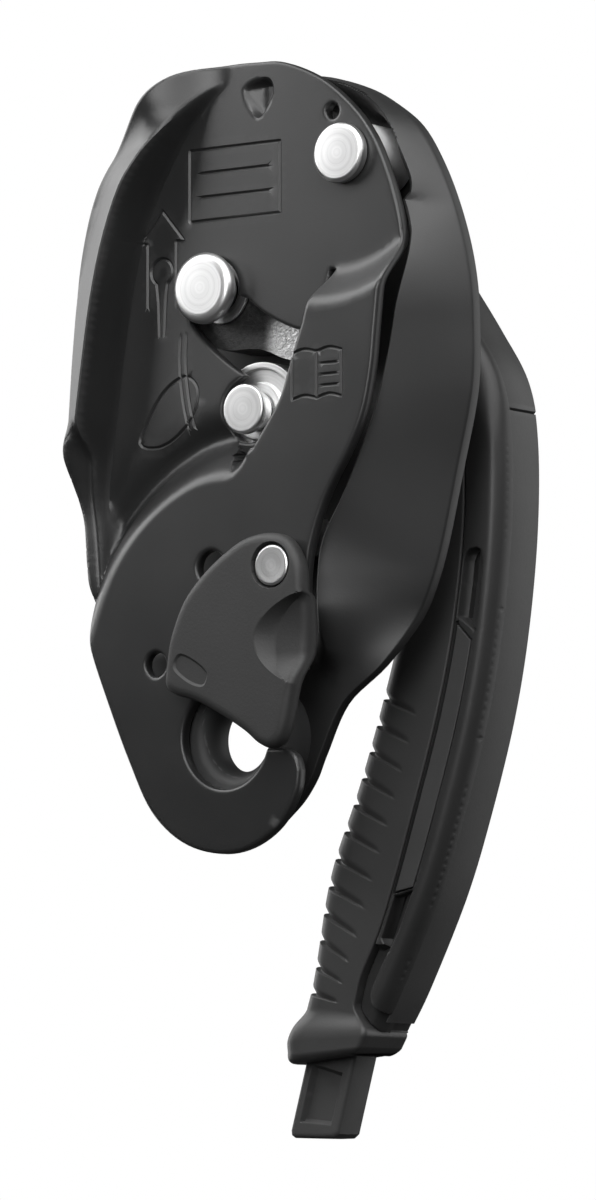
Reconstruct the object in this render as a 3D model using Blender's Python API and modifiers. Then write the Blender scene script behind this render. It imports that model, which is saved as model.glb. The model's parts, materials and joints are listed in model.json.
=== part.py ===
"""Self-braking descender (belay device): two formed side plates that hold a cam,
a gate that closes the carabiner slot, and a handle behind the fixed plate.

Frame: the front faces -Y, +X is right, +Z is up. The origin is on the axis of the
carabiner hole, midway between the plates. Lengths below are in millimetres and are
scaled to metres when a mesh is made.
"""
import bmesh
import bpy
import math
from mathutils import Vector
from mathutils.geometry import delaunay_2d_cdt

MM = 0.001
GAP = 0.3                       # clearance between touching pieces

# Axes of the turning pieces, as (X, Z)
HOLE = (0.0, 0.0)
PLATE_PIVOT = (23.7, 115.3)
CAM_AXLE = (-8.8, 90.8)
ROPE_POST = (0.2, 65.9)
GATE_PIVOT = (14.8, 32.8)
CATCH_PIVOT = (-9.5, 102.2)

# Depths of the sheet metal, as Y of the front surface
SHEET = 2.7                     # thickness of both side plates
PLANE_Y = -9.0                  # recessed plane of the moving plate
RAISED = 7.5                    # how far its raised zone stands in front of that plane
FLANGE = 9.0                    # height of its rope flange
VALLEY = 2.6                    # depth of the crescent behind the plane
TUNNEL_BENDS = (22.0, 26.5, 31.5)   # radii about the plate pivot where the tunnel's ramp bends
TUNNEL_RAMP = TUNNEL_BENDS[2] - TUNNEL_BENDS[0]
FLOOR_Y = 6.0                   # rope floor of the fixed plate
EYE_Y = -4.0                    # fixed plate round the carabiner hole
CREST_LOW_Y = -11.0             # crest of the fixed plate beside the raised zone
CREST_TOP_Y = -4.0              # the same crest further up
EDGE_Y = 1.0                    # outer edge of the fixed plate
WEAR_Y = (4.3, 5.7)             # wear plate on the rope floor, front and back

# Round sizes
HOLE_R = 6.9
SLEEVE_R = 12.0
SLOT_R = 10.5
CAM_HEAD_R = 7.2
NECK_R = 4.2                    # neck of the cam axle, which runs along the window
PIVOT_HEAD_R = 6.0
POST_HEAD_R = 5.0
GATE_RIVET_R = 4.0
BUSH_R = 10.0

# Handle
ARM_Y = (10.8, 13.2)             # metal arm, front and back
HANDLE_FRONT_Y = 13.5
HANDLE_BACK_Y = 28.0
BUTTON_TILT = math.radians(15.5)
GRIP_SHARE = 0.68               # share of the handle's width that the grip covers

GRID = 4.6                      # spacing of the points inside a formed plate
BEND_MARGIN = 1.2               # how near its rim a bend's points may come

# Edges of the handle from the shoulder down, as pairs of (X, Z): inner side, outer side
HANDLE_STATIONS = [
    ((12.0, 86.0), (29.0, 94.0)),
    ((16.0, 77.0), (36.5, 83.0)),
    ((19.5, 68.0), (43.0, 72.0)),
    ((21.5, 58.0), (45.3, 60.0)),
    ((21.5, 40.0), (45.0, 42.0)),
    ((18.5, 22.0), (42.6, 22.0)),
    ((13.5, 5.0), (38.8, 4.0)),
    ((7.5, -13.0), (32.8, -15.0)),
    ((2.5, -31.0), (27.0, -31.0)),
    ((-1.0, -48.5), (18.5, -48.5)),
    ((-4.5, -57.0), (14.2, -57.0)),
    ((-7.8, -64.0), (11.3, -62.0)),
]


# ---------------------------------------------------------------- scene and materials

def clear_scene():
    for old in list(bpy.data.objects):
        bpy.data.objects.remove(old, do_unlink=True)


def new_collection(name):
    made = bpy.data.collections.new(name)
    bpy.context.scene.collection.children.link(made)
    return made


def material(name, colour, roughness, metallic):
    made = bpy.data.materials.new(name)
    made.use_nodes = True
    shader = made.node_tree.nodes["Principled BSDF"]
    shader.inputs["Base Color"].default_value = (*colour, 1.0)
    shader.inputs["Roughness"].default_value = roughness
    shader.inputs["Metallic"].default_value = metallic
    return made


def anodised_black():
    return material("anodised_black", (0.035, 0.036, 0.037), 0.42, 0.6)


def turned_steel():
    return material("turned_steel", (0.72, 0.72, 0.72), 0.22, 1.0)


def cast_steel():
    return material("cast_steel", (0.45, 0.45, 0.45), 0.38, 1.0)


def spring_steel():
    return material("spring_steel", (0.5, 0.5, 0.52), 0.3, 1.0)


def gate_plastic():
    return material("gate_plastic", (0.03, 0.03, 0.031), 0.62, 0.0)


def handle_plastic():
    return material("handle_plastic", (0.04, 0.04, 0.041), 0.5, 0.0)


def grip_rubber():
    return material("grip_rubber", (0.045, 0.045, 0.046), 0.7, 0.0)


# ---------------------------------------------------------------- plane geometry, in millimetres

def smoothstep(t):
    t = min(1.0, max(0.0, t))
    return t * t * (3.0 - 2.0 * t)


def catmull(a, b, c, d, t):
    """Point at t between b and c of a Catmull-Rom curve."""
    out = []
    for p, q, r, s in zip(a, b, c, d):
        out.append(0.5 * (2 * q + (r - p) * t + (2 * p - 5 * q + 4 * r - s) * t * t
                          + (3 * q - p - 3 * r + s) * t ** 3))
    return tuple(out)


def smooth_line(points, steps):
    """Open curve through the points, with this many steps between each two."""
    ends = [points[0]] + list(points) + [points[-1]]
    line = []
    for i in range(len(points) - 1):
        for k in range(steps):
            line.append(catmull(ends[i], ends[i + 1], ends[i + 2], ends[i + 3], k / steps))
    line.append(tuple(points[-1]))
    return line


def smooth_loop(points, steps):
    """Closed curve through the points."""
    count = len(points)
    loop = []
    for i in range(count):
        near = [points[(i + k - 1) % count] for k in range(4)]
        for k in range(steps):
            loop.append(catmull(*near, k / steps))
    return loop


def arc(centre, radius, start, end, steps):
    """Points along an arc, angles in degrees from +X towards +Z, both ends included."""
    turn = [math.radians(start + (end - start) * k / steps) for k in range(steps + 1)]
    return [(centre[0] + radius * math.cos(a), centre[1] + radius * math.sin(a)) for a in turn]


def circle(centre, radius, steps):
    return arc(centre, radius, 0.0, 360.0, steps)[:-1]


def inside(point, loop):
    """Whether the point lies inside the closed loop."""
    x, z = point
    odd = False
    for (x0, z0), (x1, z1) in zip(loop, loop[1:] + loop[:1]):
        if (z0 > z) != (z1 > z) and x < (x1 - x0) * (z - z0) / (z1 - z0) + x0:
            odd = not odd
    return odd


def nearest(point, line):
    """Distance to a line of points, signed by side (positive to its right), and the nearest point."""
    x, z = point
    best = (1e9, 0.0, (0.0, 0.0))
    for (x0, z0), (x1, z1) in zip(line, line[1:]):
        dx, dz = x1 - x0, z1 - z0
        t = min(1.0, max(0.0, ((x - x0) * dx + (z - z0) * dz) / (dx * dx + dz * dz)))
        px, pz = x0 + t * dx, z0 + t * dz
        gap = math.hypot(x - px, z - pz)
        if gap < best[0]:
            side = (z - z0) * dx - (x - x0) * dz
            best = (gap, -side, (px, pz))
    return math.copysign(best[0], best[1]), best[2]


def distance(a, b):
    return math.hypot(a[0] - b[0], a[1] - b[1])


# ---------------------------------------------------------------- makers of solids

def place(obj, collection, finish):
    collection.objects.link(obj)
    obj.data.materials.append(finish)
    return obj


def formed_plate(name, outline, holes, depth, collection, finish, bends=()):
    """Sheet cut to the outline with the holes left out and pressed to depth(X, Z).

    Each bend is a line of points that the mesh keeps, so that a crease stays where it belongs.
    """
    loops = [outline] + holes
    points = []
    edges = []
    for loop in loops:
        first = len(points)
        points += [Vector(p) for p in loop]
        edges += [(first + i, first + (i + 1) % len(loop)) for i in range(len(loop))]
    rim = [(loop + loop[:1]) for loop in loops]
    low_x = min(p[0] for p in outline)
    high_x = max(p[0] for p in outline)
    low_z = min(p[1] for p in outline)
    high_z = max(p[1] for p in outline)
    def in_sheet(spot, margin):
        in_metal = inside(spot, outline) and not any(inside(spot, hole) for hole in holes)
        return in_metal and min(abs(nearest(spot, line)[0]) for line in rim) > margin

    creases = [spot for bend in bends for spot in bend if in_sheet(spot, BEND_MARGIN)]
    points += [Vector(spot) for spot in creases]
    for j in range(int((high_z - low_z) / GRID) + 1):
        for i in range(int((high_x - low_x) / GRID) + 1):
            spot = (low_x + GRID * (i + 0.5 * (j % 2)), low_z + GRID * j)
            if in_sheet(spot, 0.45 * GRID) and all(distance(spot, near) > 0.4 * GRID for near in creases):
                points.append(Vector(spot))
    flat, _, faces, _, _, _ = delaunay_2d_cdt(points, edges, [], 0, 1e-4)
    kept = []
    for face in faces:
        middle = sum((flat[i] for i in face), Vector((0.0, 0.0))) / len(face)
        if inside(middle, outline) and not any(inside(middle, hole) for hole in holes):
            kept.append(face)
    sheet = bmesh.new()
    corners = [sheet.verts.new((p.x * MM, depth(p.x, p.y) * MM, p.y * MM)) for p in flat]
    for face in kept:
        sheet.faces.new([corners[i] for i in face])
    bmesh.ops.delete(sheet, geom=[v for v in sheet.verts if not v.link_faces], context="VERTS")
    pressed = bmesh.ops.extrude_face_region(sheet, geom=sheet.faces[:])
    back = [part for part in pressed["geom"] if isinstance(part, bmesh.types.BMVert)]
    bmesh.ops.translate(sheet, verts=back, vec=(0.0, SHEET * MM, 0.0))
    bmesh.ops.recalc_face_normals(sheet, faces=sheet.faces)
    mesh = bpy.data.meshes.new(name)
    sheet.to_mesh(mesh)
    sheet.free()
    mesh.shade_smooth()
    mesh.set_sharp_from_angle(angle=math.radians(40.0))
    return place(bpy.data.objects.new(name, mesh), collection, finish)


def flat_piece(name, loops, front, back, collection, finish):
    """Outline in the XZ plane, with any inner loops left open, from depth front to back."""
    curve = bpy.data.curves.new(name, "CURVE")
    curve.dimensions = "2D"
    curve.fill_mode = "BOTH"
    curve.extrude = (back - front) / 2 * MM
    for loop in loops:
        spline = curve.splines.new("POLY")
        spline.points.add(len(loop) - 1)
        for point, (x, z) in zip(spline.points, loop):
            point.co = (x * MM, z * MM, 0.0, 1.0)
        spline.use_cyclic_u = True
    obj = place(bpy.data.objects.new(name, curve), collection, finish)
    obj.rotation_euler = (math.pi / 2, 0.0, 0.0)
    obj.location = (0.0, (front + back) / 2 * MM, 0.0)
    return obj


def as_mesh(obj, collection):
    """The same piece as one welded mesh that can take a Boolean."""
    bpy.context.view_layer.update()
    graph = bpy.context.evaluated_depsgraph_get()
    mesh = bpy.data.meshes.new_from_object(obj.evaluated_get(graph))
    shape = bmesh.new()
    shape.from_mesh(mesh)
    bmesh.ops.remove_doubles(shape, verts=shape.verts, dist=1e-6)
    shape.to_mesh(mesh)
    shape.free()
    name = obj.name
    made = bpy.data.objects.new(name + "_mesh", mesh)
    made.matrix_world = obj.matrix_world.copy()
    collection.objects.link(made)
    bpy.data.objects.remove(obj, do_unlink=True)
    made.name = name
    return made


def turned(name, axis, profile, collection, finish, steps=28, ring=False):
    """Profile of (radius, depth Y), front to back down the outer side, turned about the axis."""
    mesh = bpy.data.meshes.new(name)
    corners = [(radius * MM, 0.0, -depth * MM) for radius, depth in profile]
    edges = [(i, i + 1) for i in range(len(profile) - 1)]
    if ring:
        edges.append((len(profile) - 1, 0))
    mesh.from_pydata(corners, edges, [])
    obj = place(bpy.data.objects.new(name, mesh), collection, finish)
    obj.rotation_euler = (math.pi / 2, 0.0, 0.0)
    obj.location = (axis[0] * MM, 0.0, axis[1] * MM)
    screw = obj.modifiers.new("turn", "SCREW")
    screw.steps = steps
    screw.render_steps = steps
    screw.use_merge_vertices = True
    screw.merge_threshold = 0.000001
    screw.use_smooth_shade = True
    return obj


def tube_ring(name, axis, inner, outer, front, back, collection, finish, steps=28):
    """Plain bush or washer."""
    profile = [(inner, front), (outer, front), (outer, back), (inner, back)]
    return turned(name, axis, profile, collection, finish, steps, ring=True)


def wire(name, points, radius, collection, finish):
    """Wire of this radius through points (X, Y, Z)."""
    curve = bpy.data.curves.new(name, "CURVE")
    curve.dimensions = "3D"
    curve.bevel_depth = radius * MM
    curve.bevel_resolution = 1
    curve.use_fill_caps = True
    spline = curve.splines.new("POLY")
    spline.points.add(len(points) - 1)
    for point, (x, y, z) in zip(spline.points, points):
        point.co = (x * MM, y * MM, z * MM, 1.0)
    obj = as_mesh(place(bpy.data.objects.new(name, curve), collection, finish), collection)
    shape = bmesh.new()
    shape.from_mesh(obj.data)
    bmesh.ops.triangulate(shape, faces=shape.faces)
    shape.to_mesh(obj.data)
    shape.free()
    return obj


def coil(axis, radius, front, back, turns, per_turn=12):
    """Points of a helix about an axis along Y."""
    count = int(turns * per_turn)
    points = []
    for k in range(count + 1):
        angle = 2 * math.pi * turns * k / count
        depth = front + (back - front) * k / count
        points.append((axis[0] + radius * math.cos(angle), depth, axis[1] + radius * math.sin(angle)))
    return points


def cut(obj, cutter, name):
    knife = obj.modifiers.new(name, "BOOLEAN")
    knife.operation = "DIFFERENCE"
    knife.solver = "EXACT"
    knife.object = cutter
    cutter.hide_render = True
    cutter.display_type = "WIRE"


# ---------------------------------------------------------------- outlines

def moving_outline():
    """Outline of the moving plate, with the hook round the carabiner slot."""
    left = [(-3.0, 136.3), (-11.5, 134.2), (-18.6, 130.3), (-24.3, 123.6), (-29.0, 115.5), (-33.0, 107.0),
            (-36.2, 94.0), (-37.8, 80.0), (-38.6, 68.0), (-39.2, 59.5), (-38.8, 51.5), (-37.2, 43.0),
            (-35.6, 31.0), (-33.6, 19.0), (-29.6, 8.0), (-24.2, -4.0), (-18.6, -14.2), (-11.0, -20.6),
            (-2.0, -23.2), (6.0, -22.3), (13.0, -18.2), (17.4, -11.8), (18.2, -7.4)]
    tip = [(17.4, -4.6), (14.8, -3.1), (11.6, -2.9)]
    slot = arc(HOLE, SLOT_R, -16.0, -270.0, 14)
    mouth = [(13.0, 11.0), (19.2, 12.4)]
    right = [(19.8, 22.0), (20.3, 34.0), (24.1, 45.5), (30.2, 55.5), (33.6, 62.5), (35.5, 70.7),
             (36.4, 78.6), (37.2, 86.0), (38.2, 93.0), (37.6, 99.5), (36.2, 105.5), (33.8, 112.2),
             (30.4, 119.0), (25.4, 125.2), (18.0, 131.2), (9.0, 135.3)]
    line = smooth_line(left, 2) + tip + slot + mouth + smooth_line(right, 2)
    return line


def window_loop():
    """Window for the heads: a pocket for the cam axle's neck, a band about the plate pivot, a notch for the post."""
    pocket = arc(CAM_AXLE, 6.3, 200.0, -14.0, 9)
    upper = arc(PLATE_PIVOT, 36.1, -132.0, -101.5, 5)
    slit = [(20.4, 92.2), (21.6, 92.4), (18.6, 81.2)]
    right = [(15.6, 73.4), (12.9, 66.1), (6.4, 56.9)]
    notch = arc(ROPE_POST, 6.6, 285.0, 115.0, 6)
    lower = arc(PLATE_PIVOT, 49.0, -120.0, -141.0, 4)
    return pocket + upper + slit + right + notch + lower


RAISED_LINE = [(24.6, 104.0), (21.4, 92.5), (18.1, 81.5), (15.2, 73.5), (12.5, 66.2), (7.0, 58.0), (2.8, 51.9),
               (-2.0, 49.0), (-8.0, 47.5), (-19.1, 40.3), (-27.4, 30.0), (-30.4, 16.7), (-31.0, 0.0)]
FLANGE_LINE = [(-4.0, 134.0), (-11.5, 128.0), (-18.0, 119.5), (-23.0, 110.5), (-27.0, 101.0), (-29.2, 90.0),
               (-31.2, 78.0), (-33.6, 66.0), (-36.2, 57.0), (-38.6, 50.0)]


def moving_depth(x, z):
    """Front surface of the moving plate."""
    spot = (x, z)
    side, foot = nearest(spot, RAISED_LINE)
    low_left = smoothstep((2.0 - foot[0]) / 10.0)
    ramp = 0.01 + 3.0 * smoothstep((59.0 - foot[1]) / 3.0) + 6.5 * low_left
    raised = smoothstep((ramp - side) / ramp)
    raised = min(raised, smoothstep((distance(spot, PLATE_PIVOT) - TUNNEL_BENDS[0]) / TUNNEL_RAMP))
    valley = low_left * VALLEY * math.exp(-((side - ramp - 0.5) / 3.0) ** 2)
    out, _ = nearest(spot, FLANGE_LINE)
    top = smoothstep((133.0 - z) / 8.0) * smoothstep((z - 46.0) / 10.0)
    flange = top * FLANGE * (smoothstep(out / 4.5) - 0.25 * smoothstep((out - 5.0) / 4.0))
    return PLANE_Y - RAISED * raised - flange + valley * (1.0 - smoothstep(out / 3.0))


def fixed_outline():
    left = [(-10.0, 131.0), (-19.0, 124.5), (-26.0, 114.0), (-30.0, 101.0), (-32.0, 84.0), (-32.5, 66.0),
            (-31.5, 46.0), (-29.5, 26.0), (-26.0, 8.0), (-20.0, -7.0), (-11.0, -16.5), (-1.0, -19.2)]
    right = [(7.0, -14.2), (11.6, -8.9), (14.4, -3.2), (19.6, 6.4), (28.5, 13.6), (35.0, 24.0), (39.6, 35.0),
             (43.9, 52.0), (47.0, 64.7), (47.9, 72.0), (47.9, 80.0), (46.8, 88.0), (44.8, 96.5), (41.8, 105.5),
             (38.2, 113.5), (33.6, 120.8), (28.0, 126.2), (21.5, 130.4), (12.0, 133.8), (1.0, 134.2)]
    return smooth_loop(left + right, 2)


CREST_LINE = [(10.0, 133.0), (18.9, 128.5), (26.9, 121.6), (31.2, 115.7), (34.0, 109.0), (36.2, 101.0),
              (37.2, 93.0), (37.3, 85.0), (37.0, 76.7), (34.8, 66.6), (31.5, 59.0), (26.5, 49.5), (23.6, 41.0),
              (24.0, 33.0), (25.8, 26.0), (24.0, 18.0), (20.0, 10.0)]


def fixed_depth(x, z):
    """Front surface of the fixed plate: rope floor, wall up to the crest, band falling to the edge."""
    if z < 8.0:
        return EYE_Y
    spot = (x, z)
    side, _ = nearest(spot, CREST_LINE)
    crest = CREST_TOP_Y + (CREST_LOW_Y - CREST_TOP_Y) * smoothstep((112.0 - z) / 34.0)
    crest += (EYE_Y - CREST_LOW_Y) * smoothstep((26.0 - z) / 18.0)
    floor = FLOOR_Y + (EYE_Y - FLOOR_Y) * smoothstep((30.0 - z) / 12.0)
    if side >= 0.0:
        rise = (crest - floor) * (1.0 - smoothstep(side / 7.0))
    else:
        edge = EDGE_Y + (EYE_Y - EDGE_Y) * smoothstep((26.0 - z) / 16.0)
        rise = crest - floor + (edge - crest) * min(1.0, -side / 11.0)
    return floor + rise * smoothstep((distance(spot, PLATE_PIVOT) - 10.0) / 5.0)


# ---------------------------------------------------------------- frame

def make_fixed_plate(parts, finish):
    holes = [circle(HOLE, HOLE_R, 20), circle(CAM_AXLE, 4.1, 14), circle(ROPE_POST, 3.6, 12),
             circle(PLATE_PIVOT, 3.8, 12)]
    return formed_plate("fixed_side_plate", fixed_outline(), holes, fixed_depth, parts, finish, [CREST_LINE])


def make_plate_pivot(parts, steel):
    head = PIVOT_HEAD_R
    profile = [(0.0, -11.5), (head - 0.8, -11.5), (head, -10.9), (head, -9.3), (3.5, -9.3), (3.5, 8.9 + GAP),
               (5.2, 8.9 + GAP), (5.2, 10.4), (0.0, 10.4)]
    turned("plate_pivot_axle", PLATE_PIVOT, profile, parts, steel)
    tube_ring("plate_pivot_sleeve", PLATE_PIVOT, 3.8, 7.0, -6.0, FLOOR_Y - 0.6, parts, steel)


def make_cam_axle(parts, steel, nut_finish):
    head = CAM_HEAD_R
    profile = [(0.0, -13.3), (head - 1.2, -13.3), (head - 0.3, -12.7), (head, -11.8), (head - 0.3, -10.2),
               (head - 1.4, -9.8), (NECK_R, -9.4), (NECK_R, -6.4), (3.8, -6.4), (3.8, 26.0), (0.0, 26.0)]
    turned("cam_axle", CAM_AXLE, profile, parts, steel)
    tube_ring("cam_axle_collar", CAM_AXLE, 4.1, 6.5, -6.0, -5.3, parts, steel)
    nut = circle(CAM_AXLE, 7.0, 6)
    flat_piece("axle_nut", [nut, circle(CAM_AXLE, 4.1, 20)], 21.3, 25.6, parts, nut_finish)


def make_rope_post(parts, steel, bush_finish):
    head = POST_HEAD_R
    profile = [(0.0, -11.0), (head - 0.4, -11.0), (head, -10.7), (head, -9.2), (4.0, -9.0), (4.0, -6.5),
               (3.3, -6.5), (3.3, 8.9 + GAP), (5.0, 8.9 + GAP), (5.0, 10.2), (0.0, 10.2)]
    turned("rope_post", ROPE_POST, profile, parts, steel)
    cup = [(3.6, -5.9), (5.8, -5.9), (5.8, -4.6), (8.6, -4.6), (8.6, -5.2), (BUSH_R, -5.2), (BUSH_R, 5.6),
           (3.6, 5.6)]
    turned("rope_post_bush", ROPE_POST, cup, parts, bush_finish, ring=True)


def make_friction_plate(parts, finish, steel):
    """Wear pad on the rope floor, below the post, with two rivets."""
    outline = smooth_loop([(-24.0, 60.0), (-16.0, 50.5), (-4.0, 46.5), (9.0, 44.5), (12.0, 39.0), (2.0, 36.5),
                           (-12.0, 38.0), (-23.0, 44.0), (-27.5, 54.0)], 2)
    spots = [(-20.5, 51.0), (5.0, 40.8)]
    holes = [circle(spot, 1.9, 10) for spot in spots]
    front, back = WEAR_Y
    flat_piece("friction_plate", [outline] + holes, front, back, parts, finish)
    for name, spot in zip(("friction_rivet_upper", "friction_rivet_lower"), spots):
        profile = [(0.0, front - 1.2), (2.6, front - 1.2), (2.9, front - GAP), (1.6, front - GAP), (1.6, back),
                   (0.0, back)]
        turned(name, spot, profile, parts, steel, steps=14)


def make_sleeve(parts, finish):
    """Body of the carabiner hole, its bore narrowing towards the fixed plate."""
    inner = [(HOLE_R + 2.9 * (1.0 - math.sin(math.radians(a))), -13.3 + 8.4 * a / 90.0)
             for a in range(90, -1, -18)]
    profile = [(SLEEVE_R, -13.3), (SLEEVE_R, EYE_Y - GAP), (HOLE_R, EYE_Y - GAP)] + inner
    return turned("attachment_sleeve", HOLE, profile, parts, finish, steps=32, ring=True)


# ---------------------------------------------------------------- moving side plate and its gate

def make_moving_plate(parts, finish):
    holes = [window_loop(), circle(PLATE_PIVOT, 3.8, 12), circle((20.8, 124.2), 1.5, 8),
             circle((-17.3, 15.1), 2.5, 10), circle(GATE_PIVOT, 2.4, 10), circle((-3.6, 33.8), 3.4, 10)]
    bends = [arc(PLATE_PIVOT, radius, -112.0, -50.0, 12) for radius in TUNNEL_BENDS]
    return formed_plate("moving_side_plate", moving_outline(), holes, moving_depth, parts, finish, bends)


def make_gate(parts, cutters, finish, steel, spring_finish):
    front = PLANE_Y - RAISED
    edge = [(15.1, 39.4), (8.0, 38.6), (1.6, 35.4), (-5.0, 28.2), (-9.6, 20.8), (-11.7, 13.0), (-10.6, 8.9),
            (-3.3, 6.4), (4.1, 2.4), (9.6, -1.9), (12.9, -3.6), (18.6, -1.4), (20.2, 6.2), (22.4, 17.0),
            (23.6, 26.4), (22.4, 33.5), (19.4, 38.0)]
    body = flat_piece("gate", [smooth_loop(edge, 2), circle(GATE_PIVOT, 2.4, 12)],
                      front - 5.2, front - 0.8, parts, finish)
    body = as_mesh(body, parts)
    head_seat = turned("gate_head_seat", GATE_PIVOT,
                       [(0.0, front - 6.0), (4.7, front - 6.0), (4.7, front - 3.9), (0.0, front - 3.9)],
                       cutters, finish, steps=24)
    spring_seat = turned("gate_spring_seat", GATE_PIVOT,
                         [(0.0, front - 2.4), (4.8, front - 2.4), (4.8, front), (0.0, front)],
                         cutters, finish, steps=20)
    cut(body, head_seat, "head_seat")
    cut(body, spring_seat, "spring_seat")
    profile = [(0.0, front - 4.9), (GATE_RIVET_R - 0.4, front - 4.9), (GATE_RIVET_R, front - 4.6),
               (GATE_RIVET_R, front - 4.2), (2.1, front - 4.2), (2.1, front + SHEET + GAP),
               (3.8, front + SHEET + GAP), (3.8, front + SHEET + 1.0), (0.0, front + SHEET + 1.0)]
    turned("gate_rivet", GATE_PIVOT, profile, parts, steel, steps=20)
    tube_ring("gate_washer", GATE_PIVOT, 2.4, 4.4, front - 0.6, front - GAP, parts, steel, steps=16)
    wire("gate_spring", coil(GATE_PIVOT, 3.6, front - 2.0, front - 1.2, 1.0), 0.25, parts, spring_finish)


# ---------------------------------------------------------------- cam and catch

def make_cam(parts, cutters, finish, steel, spring_finish):
    edge = [(-21.0, 90.0), (-19.5, 99.0), (-14.0, 106.0), (-6.0, 107.0), (0.0, 101.5), (6.0, 95.0), (14.0, 89.0),
            (17.5, 82.5), (14.5, 76.8), (8.0, 75.6), (0.0, 78.6), (-9.0, 79.0), (-17.0, 82.5)]
    body = flat_piece("cam", [smooth_loop(edge, 3), circle(CAM_AXLE, 5.8, 20), circle(CATCH_PIVOT, 1.3, 8)],
                      -5.0, 5.2, parts, finish)
    body = as_mesh(body, parts)
    pocket = flat_piece("catch_pocket", [[(-16.0, 98.6), (-17.0, 110.0), (9.0, 110.0), (9.0, 93.0), (-1.0, 92.0),
                                          (-4.0, 96.8)]], -7.0, -1.7, cutters, finish)
    pocket = as_mesh(pocket, cutters)
    seat = turned("cam_spring_seat", CAM_AXLE, [(0.0, 2.0), (9.2, 2.0), (9.2, 7.0), (0.0, 7.0)], cutters, finish,
                  steps=24)
    pin_seat = turned("catch_spring_seat", CATCH_PIVOT, [(0.0, 2.4), (3.4, 2.4), (3.4, 7.0), (0.0, 7.0)], cutters,
                      finish, steps=16)
    cut(body, pocket, "catch_pocket")
    cut(body, pin_seat, "catch_spring_seat")
    cut(body, seat, "spring_seat")
    tube_ring("cam_bush", CAM_AXLE, 4.1, 5.5, -4.9, 5.3, parts, steel, steps=24)
    wire("cam_spring", coil(CAM_AXLE, 7.4, 2.7, 4.7, 1.5), 0.45, parts, spring_finish)
    teeth = [(-13.0, 104.6), (-9.0, 105.8), (-4.5, 104.6), (-3.0, 105.4), (-2.2, 103.2), (-0.6, 103.6),
             (0.0, 101.4), (1.8, 101.6), (2.4, 98.6), (0.6, 96.4), (-5.0, 99.2), (-9.4, 99.2), (-12.8, 100.4)]
    flat_piece("catch", [teeth, circle(CATCH_PIVOT, 1.3, 8)], -4.8, -2.0, parts, finish)
    wire("catch_spring", coil(CATCH_PIVOT, 2.2, 3.0, 4.5, 2.0, 8), 0.3, parts, spring_finish)
    pin = [(0.0, -5.2), (1.0, -5.2), (1.0, 5.0), (0.0, 5.0)]
    turned("catch_pin", CATCH_PIVOT, pin, parts, steel, steps=10)


# ---------------------------------------------------------------- handle

def handle_point(share, station):
    """Point at a share of the handle's width, on smooth curves through the stations' ends."""
    last = len(HANDLE_STATIONS) - 1
    low = min(int(station), last - 1)
    near = [HANDLE_STATIONS[min(max(low + k, 0), last)] for k in (-1, 0, 1, 2)]
    inner = catmull(*(pair[0] for pair in near), station - low)
    outer = catmull(*(pair[1] for pair in near), station - low)
    return tuple(a + (b - a) * share for a, b in zip(inner, outer))


def handle_edge(share, start, end, step=0.5):
    """Points down (or up) the handle at one share of its width."""
    count = max(1, round(abs(end - start) / step))
    return [handle_point(share, start + (end - start) * k / count) for k in range(count + 1)]


def along_button(centre, sideways, down):
    """Point beside and below a centre, in the tilted frame of the handle's end."""
    sin, cos = math.sin(BUTTON_TILT), math.cos(BUTTON_TILT)
    return (centre[0] + sideways * cos - down * sin, centre[1] - sideways * sin - down * cos)


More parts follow.
